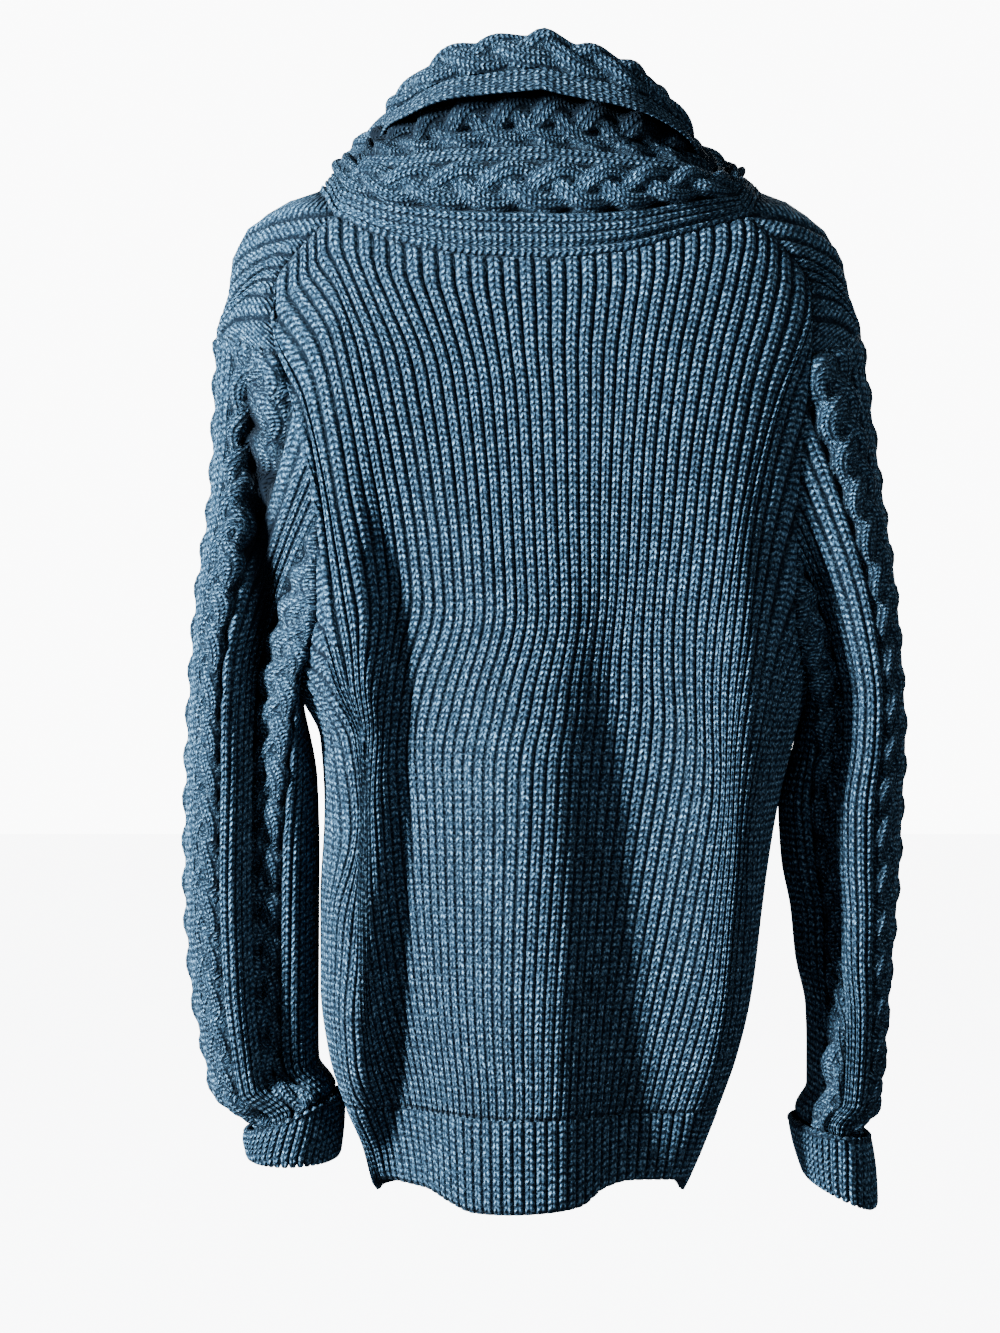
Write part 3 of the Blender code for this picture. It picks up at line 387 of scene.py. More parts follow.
# A long hollow down the back of the left sleeve: where it runs and how deep and wide it is at each height.
SLEEVE_HOLLOW = table(
    "z x depth outer inner",
    (-0.420, 0.2060, 0.000, 0.012, 0.015),
    (-0.360, 0.2080, 0.008, 0.012, 0.015),
    (-0.297, 0.2040, 0.019, 0.013, 0.017),
    (-0.224, 0.2080, 0.024, 0.013, 0.016),
    (-0.175, 0.2110, 0.021, 0.012, 0.012),
    (-0.140, 0.2110, 0.010, 0.010, 0.008),
    (-0.118, 0.2100, 0.000, 0.009, 0.008),
)
BAG_TOP = 0.024  # heights above the cuff's edge between which the sleeve bags over it
BAG_END = 0.003
ARMHOLE_BLEND = 0.50  # part of the sleeve over which the armhole's shape turns into the sleeve's own
# Each cuff: its middle at the turned-up edge, half width and half depth, how far its top is wider, how
# far its foot leans outwards, and the heights of its folded lower edge and of its turned-up edge, on the
# outer and on the inner side.
CUFFS = table(
    "side x y half_width half_depth flare lean bottom_outer bottom_inner top_outer top_inner",
    (1, 0.185, -0.014, 0.0285, 0.057, 0.002, 0.000, -0.712, -0.711, -0.691, -0.662),
    (-1, 0.217, -0.016, 0.0205, 0.060, 0.003, 0.008, -0.748, -0.727, -0.694, -0.683),
)

# The collar's section from the neck seam to its free edge, at places from the middle of the back (0) to
# the point of the V (1). The seam is the origin of each section, which goes through six more knots, in
# millimetres: out is away from the neck, and up is along the neck, or off the chest where lying is 1.
# turn is the direction of out at the back and the sides.
COLLAR = table(
    "place turn lying a_out a_up b_out b_up c_out c_up d_out d_up e_out e_up f_out f_up",
    (0.00, 90, 0.0, 3, 57, -16, 86, -12, 106, -28, 148, -8, 158, 10, 118),
    (0.09, 76, 0.0, 2, 55, -18, 83, -14, 102, -30, 138, -10, 147, 7, 110),
    (0.18, 56, 0.0, -2, 44, -26, 68, -27, 84, -44, 106, -28, 112, -12, 86),
    (0.29, 26, 0.0, -18, 27, -40, 43, -44, 52, -62, 62, -54, 68, -43, 46),
    (0.38, 2, 0.1, -15, 14, -34, 24, -41, 30, -53, 40, -45, 45, -20, 24),
    (0.48, -24, 0.5, -14, 12, -30, 21, -37, 28, -45, 38, -26, 45, 22, 23),
    (0.62, -40, 1.0, -12, 8, -24, 14, -29, 20, -26, 29, 6, 30, 66, 16),
    (0.80, -50, 1.0, -10, 7, -18, 12, -21, 17, -17, 24, 8, 24, 52, 14),
    (1.00, -60, 1.0, -3, 6, -6, 9, -7, 12, -4, 16, 4, 18, 16, 16),
)
# On the right half the collar is this much of its height.
COLLAR_RIGHT = table(
    "place height",
    (0.00, 1.00),
    (0.09, 0.93),
    (0.18, 0.84),
    (0.29, 0.68),
    (0.38, 0.66),
    (0.48, 0.84),
    (0.62, 1.00),
    (1.00, 1.00),
)


def curve(places, values, at):
    """Values on a smooth curve through the rows of a table that never overshoots them."""
    steps = np.diff(places)
    slopes = np.diff(values) / steps
    tangents = np.zeros(len(places))
    same = slopes[:-1] * slopes[1:] > 0
    weight_a = 2 * steps[1:] + steps[:-1]
    weight_b = steps[1:] + 2 * steps[:-1]
    before = np.where(same, slopes[:-1], 1.0)
    after = np.where(same, slopes[1:], 1.0)
    tangents[1:-1] = np.where(same, (weight_a + weight_b) / (weight_a / before + weight_b / after), 0.0)
    tangents[0] = slopes[0]
    tangents[-1] = slopes[-1]
    at = np.clip(at, places[0], places[-1])
    cell = np.clip(np.searchsorted(places, at) - 1, 0, len(steps) - 1)
    step = steps[cell]
    t = (at - places[cell]) / step
    rest = 1 - t
    return (
        values[cell] * rest * rest * (1 + 2 * t)
        + values[cell + 1] * t * t * (3 - 2 * t)
        + tangents[cell] * step * t * rest * rest
        - tangents[cell + 1] * step * t * t * rest
    )


def look_up(rows, column, at):
    """One column of a table at any value of the table's first column."""
    return curve(next(iter(rows.values())), rows[column], np.asarray(at, float))


def each_row(rows):
    """The rows of a table one by one, each with its columns by name."""
    for number in range(len(next(iter(rows.values())))):
        yield {name: values[number] for name, values in rows.items()}


def ease(value):
    """0 below 0, 1 above 1, and smooth between."""
    t = np.clip(value, 0.0, 1.0)
    return t * t * (3 - 2 * t)


def unit(vectors):
    """Vectors brought to a length of 1."""
    return vectors / np.maximum(np.linalg.norm(vectors, axis=-1, keepdims=True), 1e-12)


def body_outline(turn, z):
    """The body's section without its folds: x and y at an angle round it, counted from +X."""
    cosine = np.cos(turn)
    sine = np.sin(turn)
    on_left = cosine >= 0
    side = np.where(on_left, look_up(BODY, "left", z), look_up(BODY, "right", z))
    depth = np.where(sine >= 0, look_up(BODY, "back", z), look_up(BODY, "front", z))
    square = np.where(on_left, look_up(BODY, "square_left", z), look_up(BODY, "square_right", z))
    reach = (np.abs(cosine / side) ** square + np.abs(sine / depth) ** square) ** (-1 / square)
    return reach * cosine, reach * sine


def fold_depth(x, y, z):
    """How far the folds move the cloth off the body, forwards or backwards."""
    moved = np.zeros(np.broadcast(x, z).shape)
    for fold in each_row(FOLDS):
        levels = np.array([HEM_Z, (HEM_Z + fold["z_top"]) / 2, fold["z_top"]])
        middle = curve(levels, np.array([fold["x_low"], fold["x_mid"], fold["x_top"]]), z)
        width = np.where(x > middle, fold["width_left"], fold["width_right"])
        strength = ease((fold["z_top"] - z) / (fold["z_top"] - fold["z_full"]))
        shape = np.exp(-(((x - middle) / width) ** 2)) * strength * fold["depth"]
        moved = moved + np.where(y * fold["face"] > 0, shape * fold["face"], 0.0)
    flat_centre = np.where(y < 0, ease((np.abs(x) - FOLD_CENTRE) / FOLD_CENTRE), 1.0)
    return moved * ease(np.abs(y) / FOLD_EDGE) * flat_centre


def body(turn, z):
    """Points of the body's outer face."""
    x, y = body_outline(turn, z)
    y = y + fold_depth(x, y, z)
    return np.stack([x, y, np.broadcast_to(z, x.shape)], axis=-1)


def body_normals(turn, z):
    """Outward directions of the body's outer face."""
    small_turn = 0.01
    small_rise = 0.001
    across = body(turn + small_turn, z) - body(turn - small_turn, z)
    upward = body(turn, z + small_rise) - body(turn, z - small_rise)
    return unit(np.cross(across, upward))


def turn_of(x, z, side):
    """The angle round the body at which its outline passes x, behind (+1) or in front (-1)."""
    low = 0.0
    high = math.pi / 2
    for _ in range(40):
        middle = (low + high) / 2
        turn = middle if x >= 0 else math.pi - middle
        if abs(float(body_outline(np.array(turn), np.array(z))[0])) > abs(x):
            low = middle
        else:
            high = middle
    angle = side * (low + high) / 2
    return angle if x >= 0 else math.pi - angle


def seam_places(rows, left, shifted):
    """A seam's rows as (angle, height) on one half of the body. side is 0 on the line at its side."""
    places = []
    for row in each_row(rows):
        x = row["x"]
        if not left:
            x = -x - (float(look_up(RIGHT_SHIFT, "shift", row["z"])) if shifted else 0.0)
        if row["side"] == 0:
            turn = 0.0 if left else math.pi
        else:
            turn = turn_of(x, row["z"], row["side"])
        places.append((turn, row["z"]))
    return np.array(places)


def sampled(places, cells):
    """Evenly spaced points on a smooth curve through the places."""
    weights = np.array([0.2, 1.0])  # a radian of turn is about 0.2 m of cloth
    lengths = np.linalg.norm(np.diff(places, axis=0) * weights, axis=1)
    along = np.concatenate([[0.0], np.cumsum(lengths)])
    at = np.linspace(0, along[-1], cells + 1)
    return np.stack([curve(along, places[:, 0], at), curve(along, places[:, 1], at)], axis=-1)


def half_seams(left):
    """The seams of one half, each as a smooth line of (angle, height) places."""
    seams = {}
    for name, rows in SEAMS.items():
        shifted = not name.startswith("neck")
        seams[name] = sampled(seam_places(rows, left, shifted), SEAM_CELLS)
    side_turn = 0.0 if left else math.pi
    side_z = np.linspace(ARMHOLE_BACK["z"][-1], HEM_LINE_Z, SEAM_CELLS + 1)
    seams["side"] = np.array([(side_turn, z) for z in side_z])
    band_x = BAND_WIDTH / 2 if left else -BAND_WIDTH / 2
    band_z = np.linspace(V_POINT_Z, HEM_LINE_Z, SEAM_CELLS + 1)
    seams["band"] = np.array([(turn_of(band_x, z, -1), z) for z in band_z])
    return seams


def neck_back_seam(left, right):
    """The neck seam behind, from the left shoulder seam to the right one."""
    places = [(turn_of(row["x"], row["z"], 1), row["z"]) for row in each_row(NECK_BACK)]
    return sampled(np.array([left["shoulder"][0], *places, right["shoulder"][0]]), 2 * SEAM_CELLS)


def joined(*parts):
    """Stretches of one line, end to end, without the points that they share."""
    return np.concatenate([parts[0]] + [part[1:] for part in parts[1:]])


def hem_heights(turn, down):
    """Heights in the hem rib, from its seam (0) to its lower edge (1), at angles round the body."""
    x = body_outline(turn, np.full(turn.shape, HEM_Z))[0]
    behind = ease(np.sin(turn) / 0.3)
    edge = look_up(HEM_EDGE, "z", x) * behind + HEM_Z * (1 - behind)
    return HEM_LINE_Z + (edge - HEM_LINE_Z) * down


def lengths_along(points):
    """Distances along a line of points from its first one."""
    return np.concatenate([[0.0], np.cumsum(np.linalg.norm(np.diff(points, axis=0), axis=-1))])


def body_lengths(line):
    """Distances over the body along a line of (angle, height) places."""
    return lengths_along(body(line[:, 0], line[:, 1]))


def on_line(line, lengths, at):
    """The (angle, height) places of a line at some of its lengths."""
    return np.stack([np.interp(at, lengths, line[:, axis]) for axis in (0, 1)], axis=-1)


def nearest_seam(points, seam):
    """How far each point of a grid lies from a seam."""
    found = np.empty(points.shape[:2])
    for number, row in enumerate(points):
        found[number] = np.sqrt(((row[:, None] - seam[None]) ** 2).sum(axis=-1).min(axis=1))
    return found


def noise_along(at, seed):
    """A smooth uneven value near 0 for each place along a line."""
    random = np.random.default_rng(seed)
    value = np.zeros(np.shape(at))
    for octave in range(1, 5):
        value = value + np.sin(at * octave * 1.7 + random.uniform(0, 6.28)) / octave
    return value / 2


def sleeve_point(left, turn, z):
    """Points of a sleeve's outer face. turn goes from its outer face round its back."""
    rows, sign = sleeve_sides(left)
    outer = look_up(rows, "outer", z)
    inner = look_up(rows, "inner", z)
    back = look_up(rows, "back", z)
    front = look_up(rows, "front", z)
    reach = np.ones(np.broadcast(turn, z).shape)
    radius = (outer - inner) / 2
    for fold in each_row(SLEEVE_FOLDS):
        if fold["side"] != sign:
            continue
        part = (z - SLEEVE_HEAD["z"][2]) / (fold["z_end"] - SLEEVE_HEAD["z"][2])
        middle = fold["turn_top"] + (fold["turn_low"] - fold["turn_top"]) * np.clip(part, 0, 1)
        off = np.degrees(turn) - middle
        off = (off + 180) % 360 - 180
        width = np.where(off < 0, fold["width_out"], fold["width_in"])
        strength = ease((fold["z_top"] - z) / (fold["z_top"] - fold["z_full"]))
        strength = strength * ease((z - fold["z_end"]) / (fold["z_fade"] - fold["z_end"]))
        reach = reach + np.exp(-((off / width) ** 2)) * strength * fold["depth"] / radius
    x = (outer + inner) / 2 + radius * reach * np.cos(turn)
    y = (back + front) / 2 + (back - front) / 2 * reach * np.sin(turn)
    return np.stack([sign * x, y, np.broadcast_to(z, x.shape)], axis=-1)


def hollow_depth(points, narrowing=1.0):
    """How deep the left sleeve's long hollow is at each point."""
    x, y, z = np.moveaxis(points, -1, 0)
    off = x - look_up(SLEEVE_HOLLOW, "x", z)
    width = np.where(off > 0, look_up(SLEEVE_HOLLOW, "outer", z), look_up(SLEEVE_HOLLOW, "inner", z))
    return look_up(SLEEVE_HOLLOW, "depth", z) * np.exp(-((off / width) ** 2) * narrowing) * ease(y / 0.03)


def hollowed(points, down):
    """Draws the back of the left sleeve in along its long hollow. down is 0 at the armhole seam."""
    x, y, z = np.moveaxis(points, -1, 0)
    return np.stack([x, y - hollow_depth(points) * ease(down / 0.05), z], axis=-1)


def cuff_row(left):
    """One cuff's row of CUFFS."""
    return next(row for row in each_row(CUFFS) if row["side"] == (1 if left else -1))


def cuff_edge(cuff, name, turn):
    """The height of an edge of a cuff at a turn round it, between its outer and its inner side."""
    outer = cuff[name + "_outer"]
    inner = cuff[name + "_inner"]
    return (outer + inner) / 2 + (outer - inner) / 2 * np.cos(turn)


def cuff_point(left, turn, z, off):
    """A point of a cuff: turn round it, its height, and how far it lies off the sleeve's line."""
    cuff = cuff_row(left)
    part = (z - cuff_edge(cuff, "bottom", turn)) / (cuff["top_inner"] - cuff["bottom_inner"])
    wider = cuff["flare"] * part + off
    middle = cuff["x"] + cuff["lean"] * (1 - part)
    x = middle + (cuff["half_width"] + wider) * np.cos(turn)
    y = cuff["y"] + (cuff["half_depth"] + wider) * np.sin(turn)
    return np.stack([cuff["side"] * x, y, z], axis=-1)


def through_knots(knots, cells):
    """Catmull-Rom curves through rows of knots, evenly spread over the average spacing of the rows."""
    steps = np.linalg.norm(np.diff(knots, axis=0), axis=-1).mean(axis=1)
    along = np.concatenate([[0.0], np.cumsum(steps)])
    at = np.linspace(0, along[-1], cells + 1)
    before = 2 * knots[0] - knots[1]
    after = 2 * knots[-1] - knots[-2]
    ends = np.concatenate([before[None], knots, after[None]])
    cell = np.clip(np.searchsorted(along, at) - 1, 0, len(steps) - 1)
    t = ((at - along[cell]) / steps[cell])[:, None, None]
    p0, p1, p2, p3 = (ends[cell + number] for number in range(4))
    return 0.5 * (
        2 * p1 + (p2 - p0) * t + (2 * p0 - 5 * p1 + 4 * p2 - p3) * t**2 + (3 * p1 - p0 - 3 * p2 + p3) * t**3
    )


def rib_profile(rib):
    """Height of a fisherman rib, from 0 in the grooves beside it to 1 on the two legs of its stitches."""
    off = np.abs(rib - np.floor(rib) - 0.5) * 2
    round_top = (1 - off**2.4) ** 0.62
    return round_top - 0.13 * np.exp(-((off / 0.17) ** 2))


def plait_painted_light(level):
    """The painted light of a plait at a height within it: full on the strand on top, with painted shade where
    the strands pass under each other and on the floor between them.
    """
    return np.clip((level - 0.15) / 0.75, 0, 1) ** 1.2


def bell(at, middle, width):
    """A smooth bump of height 1 round a middle."""
    return np.exp(-(((at - middle) / width) ** 2))


def plait(across, along, half_width, lobe, strand):
    """A cable of three strands: its height, and the rib and row coordinates of the strand on top.
    across is counted from the cable's middle, and lobe is the spacing of its crossings."""
    swing = half_width - strand * 0.52
    best = np.full(np.broadcast(across, along).shape, -1.0)
    rib = np.zeros(best.shape)
    row = np.zeros(best.shape)
    for number in range(STRANDS):
        phase = 2 * math.pi * (along / (STRANDS * lobe) + number / STRANDS)
        middle = swing * np.sin(phase)
        slope = swing * np.cos(phase) * 2 * math.pi / (STRANDS * lobe)
        level = -STRAND_DIP * np.sin(2 * phase)
        off = (across - middle) / np.sqrt(1 + slope**2) / (strand * STRAND_HALF)
        arch = np.sqrt(np.maximum(1 - off**2, 0)) ** 1.15
        height = np.where(np.abs(off) < 1, level + 0.95 * arch, -1.0)
        above = height > best
        best = np.where(above, height, best)
        rib = np.where(above, off, rib)
        row = np.where(above, along / ROW * STRAND_STITCHES + number * 0.37 + off * 0.2, row)
    floor = best < PLAIT_FLOOR
    best = np.where(floor, PLAIT_FLOOR, best)
    rib = np.where(floor, across / PLAIT_FLOOR_RIB, rib * STRAND_STITCHES)
    row = np.where(floor, along / ROW, row)
    return best, rib, row


def placed(name, data):
    """A new object in the scene, at the origin."""
    made = bpy.data.objects.new(name, data)
    bpy.context.scene.collection.objects.link(made)
    return made


def mesh_from(bm, name, *materials):
    """A bmesh's mesh with its materials. The bmesh is freed."""
    mesh = bpy.data.meshes.new(name)
    bm.to_mesh(mesh)
    bm.free()
    for material in materials:
        mesh.materials.append(material)
    return mesh


def cloth(name, points, outward, rib, row, painted_light, material, tube=False, thickness=CLOTH):
    """A sheet of cloth over a grid of points, with the painted light of each point. A tube's first and last
    columns are one.
    """
    rows, columns = points.shape[:2]
    name = f"knitted_{name}"
    bm = bmesh.new()
    bmesh.ops.create_grid(bm, x_segments=columns - 1, y_segments=rows - 1, size=1.0)
    mesh = mesh_from(bm, name, material)
    mesh.vertices.foreach_set("co", points.reshape(-1))
    corners = np.empty(len(mesh.loops), np.int32)
    mesh.loops.foreach_get("vertex_index", corners)
    stitches = np.stack([rib, row], axis=-1).reshape(-1, 2)
    layer = mesh.uv_layers.new(name="stitches")
    layer.data.foreach_set("uv", stitches[corners].reshape(-1))
    # the painted light of each point: 1 where the yarn shows fully, lower where shade is painted in grooves,
    # in hollows and under the collar's fall, and darker beside seams
    attribute = mesh.attributes.new("painted_light", "FLOAT", "POINT")
    attribute.data.foreach_set("value", np.ascontiguousarray(painted_light, dtype=np.float32).reshape(-1))
    mesh.update()
    bm = bmesh.new()
    bm.from_mesh(mesh)
    if tube:
        bmesh.ops.remove_doubles(bm, verts=bm.verts[:], dist=1e-7)
    bm.normal_update()
    middle = (rows // 2, columns // 2)
    face = min(bm.faces, key=lambda item: (item.calc_center_median() - Vector(points[middle])).length)
    if face.normal.dot(Vector(outward[middle])) < 0:
        bmesh.ops.reverse_faces(bm, faces=bm.faces[:])
    bm.to_mesh(mesh)
    bm.free()
    mesh.shade_smooth()
    piece = placed(name, mesh)
    shell = piece.modifiers.new("cloth", "SOLIDIFY")
    shell.thickness = thickness
    shell.offset = -1.0
    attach(piece, "root")
    return piece


def rib_columns(line, knots, ribs):
    """Places on a seam line for every mesh column, from (place on the line, rib) knots."""
    lengths = body_lengths(line)
    at_ribs = np.array([rib for _, rib in knots], float)
    at_lengths = np.array([lengths[place] for place, _ in knots])
    along = curve(at_ribs, at_lengths, np.linspace(0, ribs, ribs * RIB_COLUMNS + 1))
    return on_line(line, lengths, along), along / lengths[-1]


def spread(line, cells):
    """Evenly spaced places along a line, by its length on the body."""
    lengths = body_lengths(line)
    return on_line(line, lengths, np.linspace(0, lengths[-1], cells + 1))


def held_in_line(points, wanted, lengths):
    """Moves a row's ribs along it, so that three of them keep to the lines in RIB_LINES."""
    ribs = np.linspace(0, BACK_RIBS, len(wanted))
    held = [0.0, *RIB_LINE_RIBS, float(BACK_RIBS)]
    middle_z = float(np.interp(0.0, -points[:, 0], points[:, 2]))
    share = ease((middle_z - RIB_LINES_FADE) / (RIB_LINES_FULL - RIB_LINES_FADE))
    natural = np.interp(held, ribs, wanted)
    target = natural.copy()
    for number, name in enumerate(("left", "middle", "right"), start=1):
        past = points[:, 0] - look_up(RIB_LINES, name, points[:, 2])
        place = np.interp(0.0, -past, lengths)
        target[number] = natural[number] + (place - natural[number]) * share
    return curve(natural, target, wanted)


def ribbed_places(top, top_share, bottom, left, right, rows, held=False):
    """Places of a panel whose columns follow the ribs, from the seams above down to the hem rib."""
    columns = len(top)
    across = np.linspace(0, 1, columns)[None, :, None]
    left = spread(left, rows)[:, None]
    right = spread(right, rows)[:, None]
    down = np.linspace(0, 1, rows + 1)[:, None, None]
    leaned = np.concatenate([1 - (1 - down) ** RIB_LEAN, down], axis=-1)
    corners = (1 - leaned) * ((1 - across) * top[0] + across * top[-1])
    corners = corners + leaned * ((1 - across) * bottom[0] + across * bottom[-1])
    places = (1 - leaned) * top[None] + leaned * bottom[None] + (1 - across) * left + across * right - corners
    even = np.linspace(0, 1, columns)
    for number, line in enumerate(places):
        share = 1 - (1 - number / rows) ** RIB_LEAN
        points = body(line[:, 0], line[:, 1])
        lengths = lengths_along(points)
        wanted = ((1 - share) * top_share + share * even) * lengths[-1]
        if held:
            wanted = held_in_line(points, wanted, lengths)
        places[number] = on_line(line, lengths, wanted)
    return places


def rows_of(points):
    """Row coordinates of a grid, counted up from its lower edge."""
    steps = np.linalg.norm(np.diff(points, axis=0), axis=-1)
    up = np.concatenate([np.cumsum(steps[::-1], axis=0)[::-1], np.zeros((1, points.shape[1]))])
    return up / ROW


def ribs_of(ribs, points):
    """Rib coordinates of a grid, counted from its first column."""
    return np.broadcast_to(np.linspace(0, ribs, points.shape[1]), points.shape[:2])


def border(points):
    """The top and side edges of a grid, as one line."""
    return np.concatenate([points[0], points[:, 0], points[:, -1]])


def add_panel(name, places, ribs, material):
    """A panel of the body in fisherman rib, which lies flatter lower down."""
    surface = body(places[..., 0], places[..., 1])
    normals = body_normals(places[..., 0], places[..., 1])
    rib = ribs_of(ribs, surface)
    row = rows_of(surface)
    near = ease(nearest_seam(surface, border(surface)) / SEAM_WIDTH)
    above_hem = surface[..., 2] - HEM_LINE_Z
    near = np.minimum(near, 1 - (1 - ease(above_hem / HEM_DIP_WIDTH)) * HEM_DIP)
    profile = rib_profile(rib)
    uneven = 1 + 0.10 * noise_along(rib * 2.1 + row * 0.02, 5) + 0.06 * noise_along(row * 0.15 + rib, 9)
    low = ease((STRETCHED_FROM - surface[..., 2]) / STRETCHED_OVER)
    lift = RIB_HEIGHT * (1 - 0.35 * low)
    relief = near * (profile * uneven - 0.55) * lift - (1 - near) * SEAM_DIP
    # painted shade in the grooves between the ribs, weaker lower down where the ribs lie flatter, and darker
    # beside the seams
    painted_light = (profile * (1 - 0.6 * low) + 0.38 * low) * (0.35 + 0.65 * near)
    points = surface + normals * relief[..., None]
    return cloth(name, points, normals, rib, row, painted_light, material)


def seam_line(*stretches):
    """Seams end to end as one line, and the place on it where each of them starts or ends."""
    return joined(*stretches), np.cumsum([0] + [len(part) - 1 for part in stretches])


def place_at(line, z):
    """The number of a line's place that is nearest to a height."""
    return int(np.argmin(np.abs(line[:, 1] - z)))


def panel_places(line, knots, ribs, left, right, rows, held=False):
    """A panel's places, from the ribs that its top line holds to the even ones along the hem rib."""
    top, share = rib_columns(line, knots, ribs)
    turns = even_turns(left[-1, 0], right[-1, 0], ribs)
    bottom = np.stack([turns, np.full(turns.shape, HEM_LINE_Z)], axis=-1)
    return ribbed_places(top, share, bottom, left, right, rows, held)


def add_back(halves, neck_back, material):
    """The back, whose ribs are counted from the left side seam round the top to the right one."""
    left = halves["left"]
    right = halves["right"]
    up = left["armhole_back"][::-1]
    down = right["armhole_back"]
    line, ends = seam_line(up, left["shoulder"][::-1], neck_back, right["shoulder"], down)
    knots = [
        (0, 0),
        (place_at(up, ARMHOLE_LOW_Z), 11.3),
        (place_at(up, ARMHOLE_HIGH_Z), 12.4),
        (ends[1], 12.9),
        (ends[2], 20.5),
        (ends[3], 46.0),
        (ends[4], 54.0),
        (ends[4] + place_at(down, ARMHOLE_HIGH_Z), 55.3),
        (ends[4] + place_at(down, ARMHOLE_LOW_Z), 57.2),
        (ends[5], BACK_RIBS),
    ]
    places = panel_places(line, knots, BACK_RIBS, left["side"], right["side"], BACK_ROWS, held=True)
    return add_panel("back", places, BACK_RIBS, material)


def add_front(name, seams, material):
    """A front, whose ribs are counted from its side seam round the top to the band."""
    up = seams["armhole_front"][::-1]
    over = (seams["head"][::-1], seams["shoulder"][::-1])
    line, ends = seam_line(up, *over, seams["neck_side"], seams["neck_front"])
    knots = [
        (0, 0),
        (place_at(up, ARMHOLE_LOW_Z), 12.5),
        (ends[1], 14.0),
        (ends[2], 16.0),
        (ends[3], 23.0),
        (ends[4], 25.0),
        (ends[5], FRONT_RIBS),
    ]
    places = panel_places(line, knots, FRONT_RIBS, seams["side"], seams["band"], FRONT_ROWS)
    return add_panel(f"front_{name}", places, FRONT_RIBS, material)


def even_turns(first, last, ribs):
    """Angles at the hem line that space its mesh columns evenly along the cloth."""
    dense = np.linspace(first, last, 2000)
    lengths = lengths_along(body(dense, np.full(dense.shape, HEM_LINE_Z)))
    return np.interp(np.linspace(0, lengths[-1], ribs * RIB_COLUMNS + 1), lengths, dense)


def add_hem(name, first, last, ribs, material):
    """A stretch of the hem rib between two angles round the body."""
    turns = even_turns(first, last, ribs)
    heights = hem_heights(turns, np.linspace(0, 1, HEM_ROWS + 1)[:, None])
    turn = np.broadcast_to(turns, heights.shape)
    surface = body(turn, heights)
    normals = body_normals(turn, heights)
    rib = ribs_of(ribs, surface)
    profile = rib_profile(rib)
    away = surface[0, :, 2] - surface[..., 2]
    to_first = np.linalg.norm(surface - surface[:, :1], axis=-1)
    to_last = np.linalg.norm(surface - surface[:, -1:], axis=-1)
    near = 1 - (1 - ease(away / HEM_DIP_WIDTH)) * HEM_DIP
    near = near * ease(np.minimum(to_first, to_last) / SEAM_WIDTH)
    lower = ease((heights - heights[-1]) / 0.004)
    relief = near * (profile * (0.45 + 0.55 * lower) - 0.6) * HEM_HEIGHT - (1 - near) * SEAM_DIP
    points = surface + normals * relief[..., None]
    # painted shade in the grooves between the ribs, and darker along the seams
    painted_light = (0.55 * profile + 0.35) * (0.5 + 0.5 * near)
    return cloth(f"hem_{name}", points, normals, rib, rows_of(surface), painted_light, material)


def armhole_ring(seams):
    """The armhole as one closed line: from the underarm up the back, over the shoulder, down the front."""
    back = seams["armhole_back"][::-1]
    return joined(back, seams["head"], seams["armhole_front"])


def sleeve_sides(left):
    """A sleeve's table, and the sign of its side."""
    return (SLEEVE_LEFT, 1.0) if left else (SLEEVE_RIGHT, -1.0)


def ring_turns(ring):
    """The turn round the sleeve that each point of the armhole continues."""
    points = body(ring[:, 0], ring[:, 1])
    middle_z = (SLEEVE_HEAD["z"][2] + ARMHOLE_BACK["z"][-1]) / 2
    angle = np.arctan2(points[:, 1], (points[:, 2] - middle_z) * ARMHOLE_FLATTENING)
    return np.unwrap(angle)


def tube_normals(grid, outward):
    """Directions off a tube whose first and last columns are one."""
    open_grid = grid[:, :-1]
    around = np.roll(open_grid, -1, axis=1) - np.roll(open_grid, 1, axis=1)
    down = np.gradient(open_grid, axis=0)
    normals = unit(np.cross(around, down))
    sign = np.sign((normals * outward[:, :-1]).sum(axis=-1).mean())
    normals = normals * sign
    return np.concatenate([normals, normals[:, :1]], axis=1)


def sleeve_surface(left, ring, turns):
    """The sleeve's smooth outer face, in rows from the armhole down into the cuff."""
    start = body(ring[:, 0], ring[:, 1])
    top = cuff_edge(cuff_row(left), "top", turns)
    upper_rows = SLEEVE_ROWS - SLEEVE_END_ROWS
    down = np.linspace(0, 1, upper_rows + 1)[:, None]
    upper_z = start[None, :, 2] + (top[None] + BAG_TOP - start[None, :, 2]) * down
    above = np.linspace(BAG_TOP, -CUFF_SEAM, SLEEVE_END_ROWS + 1)[1:, None]
    z = np.concatenate([upper_z, top[None] + above])
    turn = np.broadcast_to(turns[None, :], z.shape)
    grid = sleeve_point(left, turn, z)
    down = np.concatenate([down, np.ones((SLEEVE_END_ROWS, 1))])
    left_over = 1 - np.clip(down / ARMHOLE_BLEND, 0, 1)
    from_start = (start - grid[0])[None] * (left_over**2)[..., None]
    gathered = ease((BAG_TOP - (z - top[None])) / (BAG_TOP - BAG_END))[..., None]
    from_end = (cuff_point(left, turn, z, 0.0) - grid) * gathered
    grid = grid + from_start + from_end
    return hollowed(grid, down) if left else grid


def sleeve_columns(left, ring):
    """The armhole's places and turns for every mesh column, evenly spaced round the middle of the sleeve."""
    turns = ring_turns(ring)
    dense = np.linspace(turns[0], turns[-1], 4000)
    lengths = lengths_along(sleeve_point(left, dense, np.full(dense.shape, SLEEVE_MIDDLE_Z)))
    around = np.linspace(0, lengths[-1], SLEEVE_COLUMNS + 1)
    column_turns = np.interp(around, lengths, dense)
    return on_line(ring[::-1], turns[::-1], column_turns), column_turns, around


